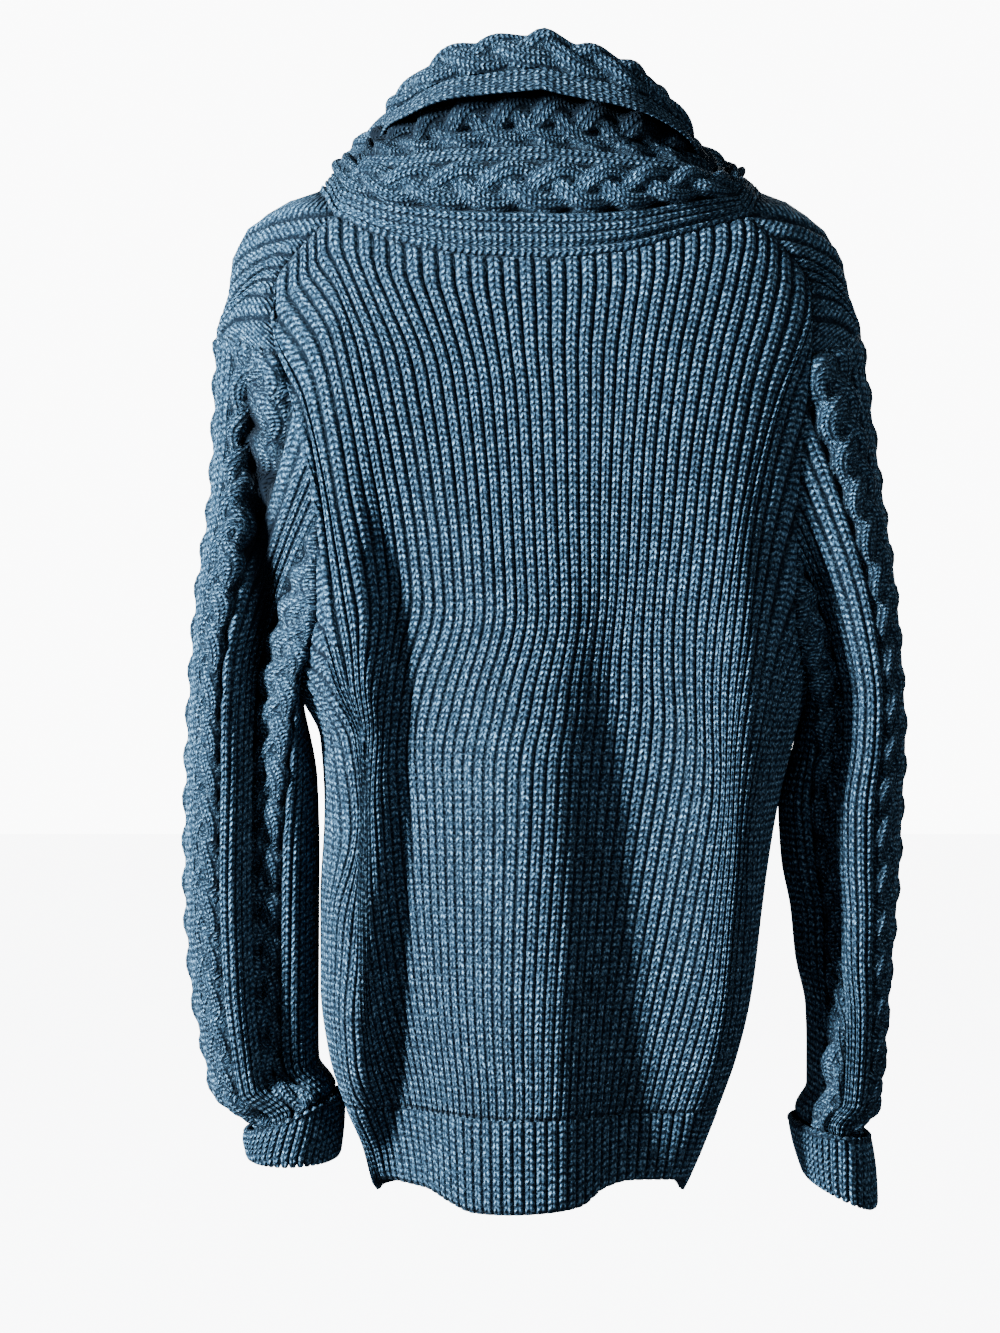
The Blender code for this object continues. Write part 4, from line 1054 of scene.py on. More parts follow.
def sleeve_pattern(left, turns, around, along):
    """Height, painted light, rib and row of the sleeve's cables and of the ribs between them."""
    degrees = np.degrees(turns)[::-1]
    middles = sorted(float(np.interp(place, degrees, around[::-1])) for place in SLEEVE_CABLES)
    height = np.zeros(along.shape)
    rib = np.zeros(along.shape)
    painted_light = np.zeros(along.shape)
    row = along / ROW
    total = around[-1]
    edges = [(middle - CABLE_HALF, middle + CABLE_HALF) for middle in middles]
    begins = [edges[-1][1] - total] + [edge[1] for edge in edges]
    ends = [edge[0] for edge in edges] + [edges[0][0] + total]
    for begin, end in zip(begins, ends):
        count = max(1, round((end - begin) / RIB_PITCH))
        for shift in (0.0, total, -total):
            part = (around - begin + shift) / (end - begin)
            inside = ((part >= 0) & (part <= 1))[None]
            here = np.broadcast_to(part * count, along.shape)
            height = np.where(inside, rib_profile(here) * RIB_HEIGHT * 0.92, height)
            painted_light = np.where(inside, rib_profile(here), painted_light)
            rib = np.where(inside, here, rib)
    for number, middle in enumerate(middles):
        off = around - middle
        off = (off + total / 2) % total - total / 2
        inside = (np.abs(off) < CABLE_HALF)[None]
        across = np.broadcast_to(off[None] * (1.0 if left else -1.0), along.shape)
        crossings = along + 0.004 * noise_along(along * 9, 3 + number) + number * 0.013
        level, strand_rib, strand_row = plait(across, crossings, CABLE_HALF, SLEEVE_LOBE, SLEEVE_STRAND)
        height = np.where(inside, (level - 0.35) * CABLE_HEIGHT + RIB_HEIGHT * 0.4, height)
        painted_light = np.where(inside, plait_painted_light(level), painted_light)
        rib = np.where(inside, strand_rib, rib)
        row = np.where(inside, strand_row, row)
    return height, painted_light, rib, row


def under_the_body(rim, places, left):
    """Steps that take a sleeve's edge a little way under the body's, all round the armhole."""
    out = body_normals(places[:, 0], places[:, 1])
    along = unit(np.roll(rim, -1, axis=0) - np.roll(rim, 1, axis=0))
    side = unit(np.cross(along, out))
    inward = np.array([-1.0 if left else 1.0, 0.0, 0.0])
    towards = unit(rim - rim.mean(axis=0)) + inward
    side = side * np.sign((side * towards).sum(axis=-1, keepdims=True))
    return side * SLEEVE_LAP - out * SLEEVE_SINK


def add_sleeve(name, left, ring, material):
    """A sleeve from the armhole down into its cuff, with cables along it and sideways ribs at its cap."""
    places, turns, around = sleeve_columns(left, ring)
    grid = sleeve_surface(left, places, turns)
    grid[:, -1] = grid[:, 0]
    centre = grid.mean(axis=1, keepdims=True)
    normals = tube_normals(grid, grid - centre)
    along = rows_of(grid) * ROW
    height, painted_light, rib, row = sleeve_pattern(left, turns, around, along)
    cap = grid[..., 2] > CAP_LINE
    height = np.where(cap, RIB_HEIGHT * 0.7, height)
    painted_light = np.where(cap, 0.8, painted_light)
    rib = np.where(cap, grid[..., 2] / CAP_PITCH, rib)
    row = np.where(cap, np.broadcast_to(around / ROW, row.shape), row)
    near = ease(nearest_seam(grid, grid[0]) / SEAM_WIDTH)
    # darker beside the armhole seam, and painted shade in the left sleeve's long hollow
    painted_light = painted_light * (0.35 + 0.65 * near)
    if left:
        painted_light = painted_light - HOLLOW_SHADE * (hollow_depth(grid, HOLLOW_SHADE) / HOLLOW_DEEPEST)
    relief = near * (height - RIB_HEIGHT * 0.55) - (1 - near) * SEAM_DIP
    above_cuff = grid[..., 2] - cuff_edge(cuff_row(left), "top", turns)[None]
    free = ease((above_cuff + 0.002) / 0.006)
    relief = relief * free - SLEEVE_TUCK * (1 - free)
    points = grid + normals * relief[..., None]
    points[0, :-1] += under_the_body(points[0, :-1], places[:-1], left)
    points[:, -1] = points[:, 0]
    return cloth(name, points, normals, rib, row, painted_light, material, tube=True)


def add_cuff(name, left, ring, material):
    """A cuff turned up on itself, in slanting ribs."""
    cuff = cuff_row(left)
    start = ring_turns(ring)[0]
    dense = np.linspace(start, start + 2 * math.pi, 3000)
    middle_z = np.full(dense.shape, (cuff["top_outer"] + cuff["bottom_outer"]) / 2)
    lengths = lengths_along(cuff_point(left, dense, middle_z, 0.0))
    turns = np.interp(np.linspace(0, lengths[-1], CUFF_RIBS * CUFF_RIB_COLUMNS + 1), lengths, dense)
    # part is 0 at the sleeve's seam, 1 to 2 round the fold, 3 at the turned-up edge and 4 past its rim
    parts = [np.linspace(0, 1, CUFF_INSIDE_ROWS + 1)]
    for number, rows in enumerate((CUFF_FOLD_ROWS, CUFF_OUTSIDE_ROWS, CUFF_RIM_ROWS), start=1):
        parts.append(number + np.linspace(0, 1, rows + 1)[1:])
    part = np.concatenate(parts)[:, None]
    fold = np.clip(part - 1, 0, 1) * math.pi
    up = np.clip(part - 2, 0, 1)
    rim = np.clip(part - 3, 0, 1)
    turn = turns[None] + CUFF_SLANT * (1 if left else -1) * up
    bottom = cuff_edge(cuff, "bottom", turn)
    top = cuff_edge(cuff, "top", turn)
    seam = top - CUFF_SEAM
    fold_z = bottom + CUFF_FOLD * 0.9
    z = np.where(part <= 1, seam + (fold_z - seam) * part, fold_z - np.sin(fold) * CUFF_FOLD * 0.9)
    z = np.where(part > 2, fold_z + (top - fold_z) * up, z)
    z = np.where(part > 3, top + 0.0006 * np.sin(rim * math.pi) - 0.0012 * rim**2, z)
    outer_off = LAP_GAP + WALL / 2 + WALL
    off = np.where(part <= 1, 0.0, outer_off / 2 - np.cos(fold) * outer_off / 2)
    off = np.where(part > 2, outer_off + np.sin(math.pi * up) * 0.0012, off)
    off = np.where(part > 3, outer_off - 0.0022 * rim, off)
    grid = cuff_point(left, turn, z, off)
    grid[:, -1] = grid[:, 0]
    facing = np.where(part < 1.5, -1.0, 1.0)[..., None]
    normals = tube_normals(grid, (grid - grid.mean(axis=1, keepdims=True)) * facing)
    outside_row = CUFF_INSIDE_ROWS + CUFF_FOLD_ROWS + 2
    outside = grid[outside_row]
    if (normals[outside_row] * (outside - outside.mean(axis=0))).sum() < 0:
        normals = -normals
    rib = ribs_of(CUFF_RIBS, grid)
    profile = rib_profile(rib)
    strength = np.where(part > 2, 0.35 + 0.65 * ease((top - z) / 0.0035), 1.0)
    relief = profile * CUFF_HEIGHT * strength - CUFF_HEIGHT * 0.6
    points = grid + normals * relief[..., None]
    points[:, -1] = points[:, 0]
    row = rows_of(grid)
    # the ribs' profile is also their painted light: painted shade in the grooves between them
    return cloth(name, points, normals, rib, row, profile, material, tube=True, thickness=CUFF_CLOTH)


def collar_seam(left_seams, right_seams, neck_back):
    """The neck seam from the left point of the V, round the back of the neck, to the right one."""
    left = joined(left_seams["neck_side"], left_seams["neck_front"])[::-1]
    right = joined(right_seams["neck_side"], right_seams["neck_front"])
    return joined(left, neck_back, right)


def collar_sections(seam):
    """Fine sections of the collar at each place of its seam, from the seam to its free edge."""
    base = body(seam[:, 0], seam[:, 1])
    normals = body_normals(seam[:, 0], seam[:, 1])
    tangent = unit(np.gradient(base, axis=0))
    lengths = lengths_along(base)
    middle = np.interp(0.0, -base[:, 0], lengths)
    signed = (lengths - middle) / np.where(lengths < middle, middle, lengths[-1] - middle)
    place = np.abs(signed)
    sign = np.where(signed <= 0, 1.0, -1.0)
    azimuth = np.radians(look_up(COLLAR, "turn", place))
    lying = look_up(COLLAR, "lying", place)[:, None]
    level_out = np.stack([sign * np.cos(azimuth), np.sin(azimuth), np.zeros(len(place))], axis=-1)
    away = np.cross(tangent, normals)
    away = unit(away * np.sign((away * base * [1, 0, 0]).sum(axis=-1, keepdims=True) + 1e-9))
    out = unit((1 - lying) * level_out + lying * away)
    up = unit((1 - lying) * np.array([0.0, 0.0, 1.0]) + lying * normals)
    height = np.where(sign > 0, 1.0, look_up(COLLAR_RIGHT, "height", place))
    knots = [np.zeros((len(place), 2))]
    for letter in COLLAR_KNOTS:
        knot_out = look_up(COLLAR, letter + "_out", place)
        knot_up = look_up(COLLAR, letter + "_up", place) * height
        knots.append(np.stack([knot_out, knot_up], axis=-1))
    section = through_knots(np.array(knots), COLLAR_CELLS) * MILLIMETRE
    return base[None] + section[..., :1] * out[None] + section[..., 1:] * up[None]


def collar_pattern(width, along):
    """Height, painted light, rib and row of the collar at each width from the seam, in millimetres at the
    back.
    """
    height = np.zeros(width.shape)
    painted_light = np.full(width.shape, 0.85)
    rib = np.zeros(width.shape)
    row = along / ROW
    for begin, end, count, strength in COLLAR_RIBS:
        inside = (width >= begin) & (width <= end)
        here = (width - begin) / (end - begin) * count
        height = np.where(inside, rib_profile(here) * RIB_HEIGHT * strength, height)
        painted_light = np.where(inside, rib_profile(here), painted_light)
        rib = np.where(inside, here, rib)
    for number, (begin, end, lobe, strand, lift) in enumerate(COLLAR_CABLES):
        inside = (width > begin) & (width < end)
        across = (width - (begin + end) / 2) * MILLIMETRE
        wander = 0.004 * noise_along(along * 11, 20 + number)
        half = (end - begin) / 2 * MILLIMETRE
        level, strand_rib, strand_row = plait(across, -along + wander + 0.011 * number, half, lobe, strand)
        height = np.where(inside, (level - 0.25) * lift + 0.0010, height)
        painted_light = np.where(inside, plait_painted_light(level), painted_light)
        rib = np.where(inside, strand_rib, rib)
        row = np.where(inside, strand_row, row)
    chain = bell(width, 2.6, 2.0) * (0.0034 + 0.0007 * np.sin(along / 0.0045 * 2 * math.pi))
    near_seam = width < COLLAR_RIBS[0][0]
    height = np.where(near_seam, chain - bell(width, 7.0, 1.4) * 0.0012, height)
    edging = width > COLLAR_BORDER
    height = np.where(edging, 0.0022, height) - bell(width, COLLAR_BORDER, 1.1) * 0.0022
    rib = np.where(near_seam, width / 5.5, rib)
    rib = np.where(edging, (width - COLLAR_BORDER) / 5.0, rib)
    return height, painted_light, rib, row


def add_collar(seam, material):
    """The shawl collar: one strip that stands up round the neck, folds over and runs down to the V."""
    lengths = body_lengths(seam)
    even = np.linspace(0, lengths[-1], COLLAR_COLUMNS + 1)
    seam = on_line(seam, lengths, even)
    sections = collar_sections(seam)
    share = np.linspace(0, 1, COLLAR_ROWS + 1)
    grid = np.empty((COLLAR_ROWS + 1, len(seam), 3))
    for column in range(len(seam)):
        section = sections[:, column]
        along = lengths_along(section)
        for axis in range(3):
            grid[:, column, axis] = np.interp(share * along[-1], along, section[:, axis])
    normals = unit(np.cross(np.gradient(grid, axis=1), np.gradient(grid, axis=0)))
    outward = (normals[0] * body_normals(seam[:, 0], seam[:, 1])).sum()
    normals = normals * (1.0 if outward > 0 else -1.0)
    width = np.broadcast_to(share[:, None] * COLLAR_MILLIMETRES, grid.shape[:2])
    steps = np.linalg.norm(np.diff(grid, axis=1), axis=-1)
    along = np.concatenate([np.zeros((len(grid), 1)), np.cumsum(steps, axis=1)], axis=1)
    # stitches are counted along one row of the standing part and one of the fall, and blend between
    standing = along[int(0.28 * COLLAR_ROWS)][None]
    falling = along[int(0.85 * COLLAR_ROWS)][None]
    blend = ease((share[:, None] - 0.35) / 0.3)
    height, painted_light, rib, row = collar_pattern(width, standing * (1 - blend) + falling * blend)
    turned = 1 - 2 * ease((width - COLLAR_TURN + 8) / 16)
    small = ease(np.minimum(even, lengths[-1] - even)[None] / 0.06)
    relief = (height - 0.0018) * turned * (0.35 + 0.65 * small)
    relief = relief + 0.0022 * (1 - turned) / 2
    joint = ease(width / 1.6)
    relief = relief * joint + 0.0006 * (1 - joint)
    points = grid + normals * relief[..., None]
    points[0] += unit(points[0] - points[2]) * COLLAR_LAP
    # painted shadow where the fall covers the standing part behind the neck, and painted shade in the hollow
    # between its cables
    behind = ease(grid[..., 1] / 0.03)
    standing_part = width < COLLAR_TURN
    covered = (1 - ease((grid[-1:, :, 2] + 0.004 - grid[..., 2]) / COLLAR_SHADE)) * standing_part * behind
    valley = bell(width, COLLAR_VALLEY, 12.0) * behind * 0.45
    painted_light = painted_light * (1 - np.maximum(covered, valley)) - 0.25 * covered
    # painted shade over the whole fall
    painted_light = painted_light * np.where(width > COLLAR_TURN, 0.70, 1.0)
    return cloth("collar", points, normals, rib, row, painted_light, material)


def add_band(name, x_from, x_to, lift, material):
    """A front band in fine upright ribs."""
    upper = np.linspace(V_POINT_Z, HEM_LINE_Z, BAND_ROWS + 1)
    lower = np.linspace(HEM_LINE_Z, HEM_Z, BAND_LOW_ROWS + 1)[1:]
    heights = np.concatenate([upper, lower])
    x_values = np.linspace(x_from, x_to, BAND_RIBS * RIB_COLUMNS + 1)
    coarse = np.linspace(x_from, x_to, 7)
    rows = []
    for z in heights:
        turns = [turn_of(x, max(z, HEM_LINE_Z), -1) % (2 * math.pi) for x in coarse]
        rows.append(np.interp(x_values, coarse, turns))
    turn = np.array(rows)
    z = np.broadcast_to(heights[:, None], turn.shape)
    surface = body(turn, z)
    normals = body_normals(turn, z)
    rib = ribs_of(BAND_RIBS, surface)
    profile = rib_profile(rib)
    near = 0.4 + 0.6 * ease(nearest_seam(surface, border(surface)) / 0.003)
    relief = lift + near * profile * BAND_HEIGHT - BAND_HEIGHT * 0.8
    points = surface + normals * relief[..., None]
    # the ribs' profile is also their painted light: painted shade in the grooves between them
    return cloth(name, points, normals, rib, rows_of(surface), profile, material, thickness=BAND_CLOTH)


def add_rod(bm, segments, radius, depth, place, turned=None):
    """A short rod in the button's mesh, and the faces that it adds."""
    found = bmesh.ops.create_cone(
        bm,
        cap_ends=True,
        segments=segments,
        radius1=radius,
        radius2=radius,
        depth=depth,
    )
    if turned is not None:
        bmesh.ops.rotate(bm, verts=found["verts"], cent=(0, 0, 0), matrix=turned)
    bmesh.ops.translate(bm, verts=found["verts"], vec=place)
    return {face for vertex in found["verts"] for face in vertex.link_faces}


def add_button(number, z, lift, materials):
    """A four-hole button with a rolled rim and a dished middle, sewn on with crossed thread."""
    turn = np.array(-math.pi / 2)
    point = body(turn, np.array(z))
    normal = Vector(body_normals(turn, np.array(z)))
    bm = bmesh.new()
    corners = [bm.verts.new((radius, 0.0, height)) for radius, height in BUTTON_SECTION]
    edges = [bm.edges.new(pair) for pair in zip(corners, corners[1:])]
    bmesh.ops.spin(
        bm,
        geom=corners + edges,
        cent=(0, 0, 0),
        axis=(0, 0, 1),
        angle=2 * math.pi,
        steps=BUTTON_STEPS,
        use_merge=True,
    )
    bmesh.ops.remove_doubles(bm, verts=bm.verts[:], dist=1e-6)
    bmesh.ops.recalc_face_normals(bm, faces=bm.faces[:])
    for face in bm.faces:
        face.smooth = True
    for side in range(4):
        angle = math.pi / 4 + side * math.pi / 2
        x = HOLE_RING * math.cos(angle)
        y = HOLE_RING * math.sin(angle)
        add_rod(bm, HOLE_FACES, HOLE_RADIUS, 0.0004, (x, y, 0.00148))
    for side in (0, 1):
        angle = math.pi / 4 + side * math.pi / 2
        along = Vector((math.cos(angle), math.sin(angle), 0))
        turned = Vector((0, 0, 1)).rotation_difference(along).to_matrix()
        for strand in (-0.0003, 0.0003):
            place = (-math.sin(angle) * strand, math.cos(angle) * strand, 0.0019 + 0.0003 * side)
            for face in add_rod(bm, THREAD_FACES, THREAD_RADIUS, THREAD_LENGTH, place, turned):
                face.material_index = 1
    place = Vector(point) + normal * (lift + BUTTON_GAP)
    turned = normal.to_track_quat("Z", "Y").to_matrix()
    bmesh.ops.rotate(bm, verts=bm.verts[:], cent=(0, 0, 0), matrix=turned)
    bmesh.ops.translate(bm, verts=bm.verts[:], vec=place)
    name = f"sewn_button_{number}"
    button = placed(name, mesh_from(bm, name, *materials))
    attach(button, "root")
    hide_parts(f"button_{number}")
    return button


def fed(tree, socket, value):
    """Gives a socket a value, or another node's output."""
    if isinstance(value, bpy.types.NodeSocket):
        tree.links.new(value, socket)
    else:
        socket.default_value = value


def wired(tree, kind, inputs=(), **settings):
    """A node with its settings, fed by values and by other nodes' sockets."""
    node = tree.nodes.new(kind)
    for name, value in settings.items():
        setattr(node, name, value)
    for key, value in dict(inputs).items():
        fed(tree, node.inputs[key], value)
    return node


def worked_out(tree, operation, first, second=0.0, third=0.0, clamp=False):
    """The result of a sum on values and sockets."""
    inputs = {0: first, 1: second, 2: third}
    return wired(tree, "ShaderNodeMath", inputs, operation=operation, use_clamp=clamp).outputs[0]


def ranged(tree, value, low, high, to_low=0.0, to_high=1.0):
    """A value moved from one range to another, and kept in it."""
    return wired(tree, "ShaderNodeMapRange", {0: value, 1: low, 2: high, 3: to_low, 4: to_high}).outputs[0]


def noise(tree, place, scale, detail, roughness=0.5, distortion=0.0):
    """An uneven value from 0 to 1 at a place on a piece."""
    inputs = {"Vector": place, "Scale": scale, "Detail": detail}
    inputs.update({"Roughness": roughness, "Distortion": distortion})
    return wired(tree, "ShaderNodeTexNoise", inputs).outputs[0]


def blended(tree, share, first, second, kind="MIX"):
    """A colour between two others."""
    inputs = {0: share, 6: first, 7: second}
    return wired(tree, "ShaderNodeMix", inputs, data_type="RGBA", blend_type=kind).outputs[2]


def knit_group():
    """Rows of stitches in two legs to each rib, in marled yarn: a colour, with painted shade between the
    stitches and the ribs and where the painted light is low, and a height.
    """
    tree = bpy.data.node_groups.new("marled stitches", "ShaderNodeTree")
    for name, kind, value in (
        ("Stitches", "NodeSocketVector", (0.0, 0.0, 0.0)),
        ("Painted light", "NodeSocketFloat", 0.5),
        ("Place", "NodeSocketVector", (0.0, 0.0, 0.0)),
        ("Yarn", "NodeSocketColor", YARN),
        ("Painted shade", "NodeSocketColor", PAINTED_SHADE),
        ("Fleck", "NodeSocketColor", PALE),
        ("Flecks", "NodeSocketFloat", 0.5),
    ):
        socket = tree.interface.new_socket(name=name, in_out="INPUT", socket_type=kind)
        socket.default_value = value
    tree.interface.new_socket(name="Colour", in_out="OUTPUT", socket_type="NodeSocketColor")
    tree.interface.new_socket(name="Height", in_out="OUTPUT", socket_type="NodeSocketFloat")
    given = tree.nodes.new("NodeGroupInput").outputs
    place = given["Place"]
    maths = partial(worked_out, tree)

    # how far a point is from the middle of its rib, from 0 to 1, and on one of the stitch's two legs
    split = wired(tree, "ShaderNodeSeparateXYZ", {0: given["Stitches"]}).outputs
    ribs = maths("FRACT", split["X"])
    off = maths("ABSOLUTE", maths("SUBTRACT", ribs, 0.5))
    off = maths("MULTIPLY", off, 2.0)
    leg = maths("DIVIDE", maths("SUBTRACT", off, 0.40), 0.46)
    leg = maths("SUBTRACT", 1.0, maths("MULTIPLY", leg, leg), clamp=True)

    # slanting stitches, one to a row, a little uneven
    wobble = noise(tree, place, 150.0, 1.0)
    wobble = maths("MULTIPLY", maths("SUBTRACT", wobble, 0.5), 0.45)
    phase = maths("MULTIPLY_ADD", off, 0.42, split["Y"])
    phase = maths("ADD", phase, wobble)
    turned = maths("COSINE", maths("MULTIPLY", phase, 2 * math.pi))
    stitch = maths("MULTIPLY", leg, maths("MULTIPLY_ADD", turned, 0.5, 0.5))
    fibre = noise(tree, place, 800.0, 3.0, roughness=0.6)
    height = maths("MULTIPLY_ADD", fibre, 0.30, maths("MULTIPLY_ADD", leg, 0.25, stitch))

    # pale flecks of the marl, mostly on the raised stitches, and hidden where shade is painted
    marl = noise(tree, place, 520.0, 2.0, roughness=0.6, distortion=0.5)
    fleck = maths("MULTIPLY", maths("SUBTRACT", marl, 0.54), 9.0, clamp=True)
    # how far the painted shade lets the yarn's colour show
    painted_lit = maths("MULTIPLY_ADD", given["Painted light"], 0.80, 0.20, clamp=True)
    shown = maths("MULTIPLY", fleck, given["Flecks"])
    shown = maths("MULTIPLY", shown, maths("MULTIPLY_ADD", stitch, 0.85, 0.15))
    shown = maths("MULTIPLY", shown, maths("MULTIPLY", painted_lit, 1.6, clamp=True))

    # the yarn, with shade painted between the stitches and the ribs and where the painted light is low, and
    # paler and darker in patches
    light = maths("MULTIPLY", maths("MULTIPLY_ADD", stitch, 0.94, 0.06), painted_lit)
    spun = ranged(tree, marl, 0.40, 0.58, 0.30, 1.35)
    light = maths("MULTIPLY", light, spun, clamp=True)
    colour = blended(tree, light, given["Painted shade"], given["Yarn"])
    colour = blended(tree, shown, colour, given["Fleck"])
    tone = ranged(tree, noise(tree, place, 34.0, 2.0), 0.3, 0.7, 0.84, 1.12)
    grey = wired(tree, "ShaderNodeCombineColor", {0: tone, 1: tone, 2: tone}).outputs[0]
    colour = blended(tree, 1.0, colour, grey, "MULTIPLY")
    wired(tree, "NodeGroupOutput", {"Colour": colour, "Height": height})
    return tree


def new_finish(name):
    """A new material with its nodes, its shader, and the place on the piece that its patterns read."""
    material = bpy.data.materials.new(name)
    material.use_nodes = True
    tree = material.node_tree
    place = tree.nodes.new("ShaderNodeTexCoord").outputs["Object"]
    return material, tree, tree.nodes["Principled BSDF"].inputs, place


def bump(tree, shader, height, strength, distance):
    """Gives the shader the normals of a height."""
    bumped = wired(tree, "ShaderNodeBump", {"Strength": strength, "Distance": distance, "Height": height})
    fed(tree, shader["Normal"], bumped.outputs[0])


def knit_finish(name, group, flecks, depth):
    """Marled wool over a piece's own stitches and ridges, with shade painted where the piece's painted light
    is low.
    """
    material, tree, shader, place = new_finish(name)
    shader["Roughness"].default_value = 0.92
    shader["Specular IOR Level"].default_value = 0.06
    shader["Sheen Weight"].default_value = 0.02
    shader["Sheen Roughness"].default_value = 0.45
    shader["Sheen Tint"].default_value = (0.55, 0.75, 1.0, 1.0)
    inputs = {
        "Stitches": wired(tree, "ShaderNodeUVMap", uv_map="stitches").outputs[0],
        "Painted light": wired(tree, "ShaderNodeAttribute", attribute_name="painted_light").outputs["Fac"],
        "Place": place,
        "Yarn": YARN,
        "Painted shade": PAINTED_SHADE,
        "Fleck": PALE,
        "Flecks": flecks,
    }
    knit = wired(tree, "ShaderNodeGroup", inputs, node_tree=group)
    fed(tree, shader["Base Color"], knit.outputs["Colour"])
    bump(tree, shader, knit.outputs["Height"], 1.0, depth)
    return material


def horn_finish():
    """Dark horn with paler streaks and a low polish."""
    material, tree, shader, place = new_finish("dark horn")
    shader["Specular IOR Level"].default_value = 0.5
    stretched = wired(tree, "ShaderNodeMapping", {"Vector": place, "Scale": (1.0, 1.0, 3.0)}).outputs[0]
    streaks = noise(tree, stretched, 180.0, 4.0, distortion=1.5)
    share = ranged(tree, streaks, 0.42, 0.66)
    colour = blended(tree, share, (0.012, 0.010, 0.009, 1.0), (0.075, 0.048, 0.030, 1.0))
    fed(tree, shader["Base Color"], colour)
    fed(tree, shader["Roughness"], ranged(tree, streaks, 0.3, 0.7, 0.28, 0.42))
    bump(tree, shader, noise(tree, place, 1400.0, 2.0), 0.25, 0.0001)
    return material


def thread_finish():
    """Twisted dark thread."""
    material, tree, shader, place = new_finish("sewing thread")
    shader["Roughness"].default_value = 0.8
    twist = noise(tree, place, 2500.0, 1.0)
    fed(tree, shader["Base Color"], blended(tree, twist, (0.012, 0.018, 0.030, 1.0), (0.05, 0.07, 0.10, 1.0)))
    bump(tree, shader, twist, 0.6, 0.0002)
    return material


def floor_finish():
    """A pale floor that looks evenly white, and throws little light back up at the dark folds."""
    material, tree, shader, place = new_finish("studio floor")
    shader["Roughness"].default_value = 0.9
    cloud = noise(tree, place, 0.8, 1.0)
    colour = blended(tree, cloud, (0.80, 0.81, 0.82, 1.0), (0.84, 0.85, 0.86, 1.0))
    seen = tree.nodes.new("ShaderNodeLightPath").outputs["Is Camera Ray"]
    fed(tree, shader["Base Color"], blended(tree, seen, (0.10, 0.10, 0.11, 1.0), colour))
    glow = wired(tree, "ShaderNodeEmission", {"Color": (0.97, 0.98, 1.0, 1.0), "Strength": WHITE}).outputs[0]
    share = worked_out(tree, "MULTIPLY", seen, 0.8)
    lit = tree.nodes["Principled BSDF"].outputs[0]
    mixed = wired(tree, "ShaderNodeMixShader", {0: share, 1: lit, 2: glow}).outputs[0]
    fed(tree, tree.nodes["Material Output"].inputs["Surface"], mixed)
    return material


def soft_light(name, place, aim, size, power, colour):
    """A rectangular lamp that points at a place."""
    lamp = bpy.data.lights.new(name, "AREA")
    lamp.shape = "RECTANGLE"
    lamp.size, lamp.size_y = size
    lamp.energy = power
    lamp.color = colour
    light = placed(name, lamp)
    light.location = place
    light.rotation_euler = (Vector(aim) - Vector(place)).to_track_quat("-Z", "Y").to_euler()


def studio():
    """A plain pale floor, soft lights and the camera behind the cardigan."""
    bm = bmesh.new()
    bmesh.ops.create_grid(bm, x_segments=2, y_segments=2, size=FLOOR_HALF)
    bmesh.ops.translate(bm, verts=bm.verts[:], vec=(0, -1.0, FLOOR_Z))
    placed("floor", mesh_from(bm, "floor", floor_finish()))
    soft_light("key", (2.75, 1.75, 0.60), (0, 0.05, -0.33), (0.45, 1.2), 1400, (0.78, 0.91, 1.0))
    soft_light("fill", (-1.7, 1.7, 1.3), (0, 0, -0.3), (1.2, 1.2), 46, (0.80, 0.92, 1.0))
    soft_light("top", (0.6, 1.0, 1.9), (0, 0, -0.2), (0.9, 0.9), 3, (0.88, 0.95, 1.0))
    soft_light("front", (-0.6, -2.4, 0.6), (0, 0, -0.35), (1.6, 1.6), 110, (0.84, 0.94, 1.0))
    world = bpy.data.worlds.new("studio")
    world.use_nodes = True
    tree = world.node_tree
    background = tree.nodes["Background"].inputs
    background["Color"].default_value = (0.95, 0.96, 0.97, 1.0)
    seen = tree.nodes.new("ShaderNodeLightPath").outputs["Is Camera Ray"]
    fed(tree, background["Strength"], worked_out(tree, "MULTIPLY_ADD", seen, WHITE - AMBIENT, AMBIENT))
    bpy.context.scene.world = world
    lens = bpy.data.cameras.new("camera")
    lens.sensor_fit = "VERTICAL"
    lens.sensor_height = SENSOR
    lens.lens = SENSOR * CAMERA_DISTANCE / VIEW_HEIGHT
    camera = placed("camera", lens)
    camera.location = CAMERA_PLACE
    camera.rotation_euler = (math.radians(90), 0, math.radians(180))
    bpy.context.scene.camera = camera


def dress(node):
    """Hides the frame's part that a piece of cloth stands for."""
    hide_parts(node)


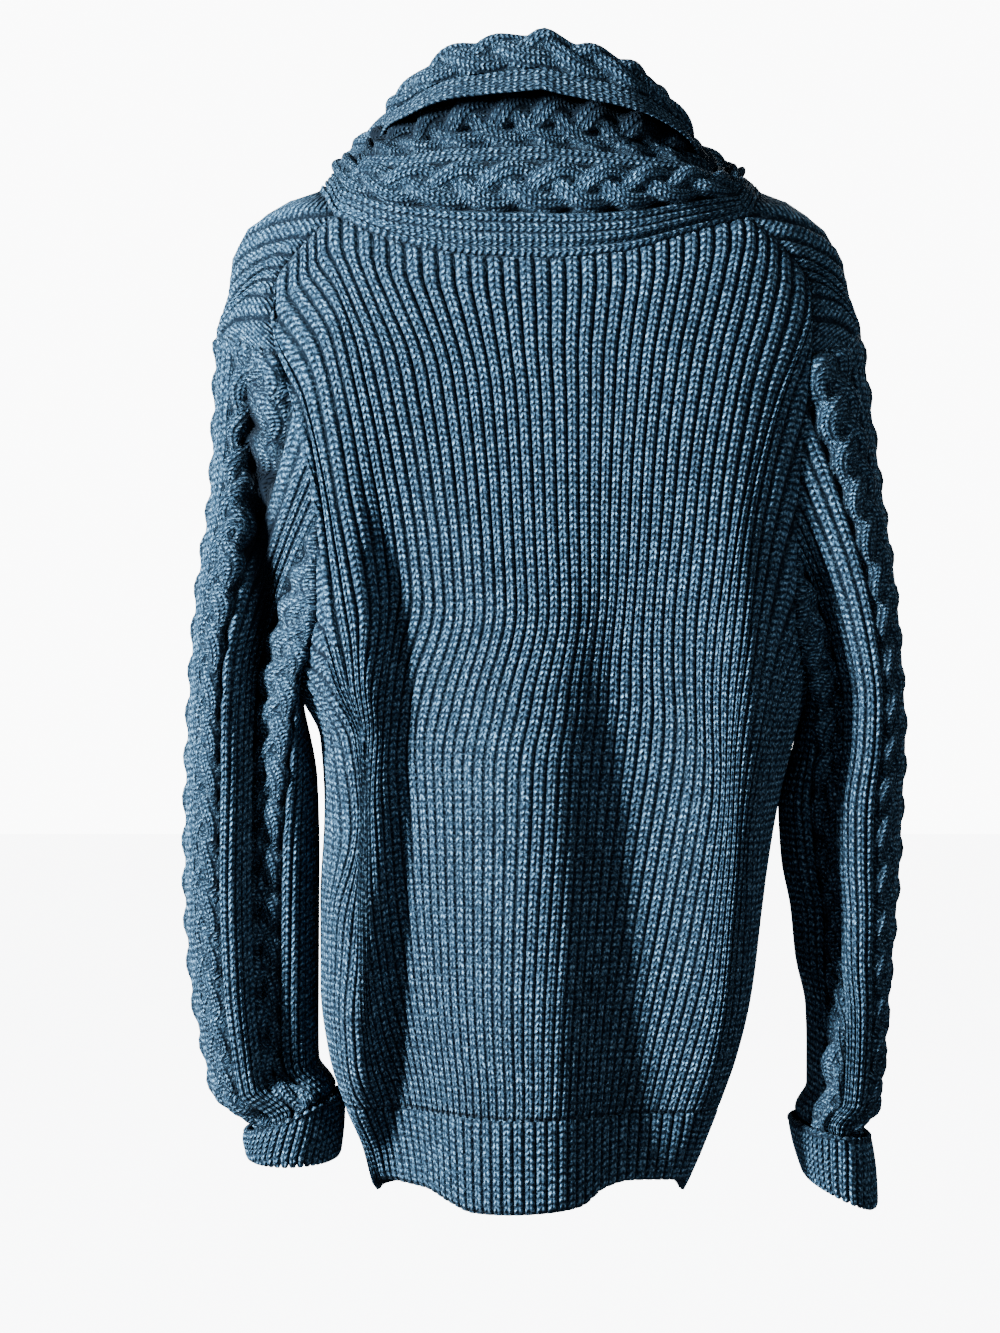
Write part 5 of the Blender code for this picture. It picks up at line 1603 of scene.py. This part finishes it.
def make():
    """All the cardigan's pieces, each in place of the frame's part that it stands for, which is hidden."""
    group = knit_group()
    body_knit = knit_finish("body knit", group, 0.55, 0.0019)
    rib_knit = knit_finish("rib knit", group, 0.5, 0.0016)
    collar_knit = knit_finish("collar knit", group, 0.5, 0.0018)
    button_materials = (horn_finish(), thread_finish())

    halves = {"left": half_seams(True), "right": half_seams(False)}
    neck_back = neck_back_seam(halves["left"], halves["right"])
    back = add_back(halves, neck_back, body_knit)
    dress("back")
    hem = add_hem("back", 0.0, math.pi, HEM_BACK_RIBS, rib_knit)
    dress("hem_back")
    for name, seams in halves.items():
        left = name == "left"
        front = add_front(name, seams, body_knit)
        dress(f"front_{name}")
        ends = (seams["side"][-1, 0], seams["band"][-1, 0])
        hem = add_hem(f"front_{name}", *ends, HEM_FRONT_RIBS, rib_knit)
        dress(f"hem_front_{name}")
        ring = armhole_ring(seams)
        sleeve = add_sleeve(f"sleeve_{name}", left, ring, body_knit)
        dress(f"sleeve_{name}")
        cuff = add_cuff(f"cuff_{name}", left, ring, rib_knit)
        dress(f"cuff_{name}")
    collar = add_collar(collar_seam(halves["left"], halves["right"], neck_back), collar_knit)
    dress("collar")
    half = BAND_WIDTH / 2
    lift = WALL + LAP_GAP
    under = add_band("band_right", -half, half, 0.0, rib_knit)
    dress("band_right")
    over = add_band("band_left", -half, half + BAND_LAP, lift, rib_knit)
    dress("band_left")
    for number, z in enumerate(np.linspace(BUTTON_FIRST_Z, BUTTON_LAST_Z, BUTTONS), start=1):
        add_button(number, z, lift, button_materials)


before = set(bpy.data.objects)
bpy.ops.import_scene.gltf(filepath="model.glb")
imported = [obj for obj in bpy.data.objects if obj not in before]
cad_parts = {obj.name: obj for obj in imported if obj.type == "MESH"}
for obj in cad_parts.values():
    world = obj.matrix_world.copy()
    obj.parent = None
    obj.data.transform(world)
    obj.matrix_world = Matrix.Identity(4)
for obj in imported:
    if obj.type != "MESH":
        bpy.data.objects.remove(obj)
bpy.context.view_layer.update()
make()
studio()
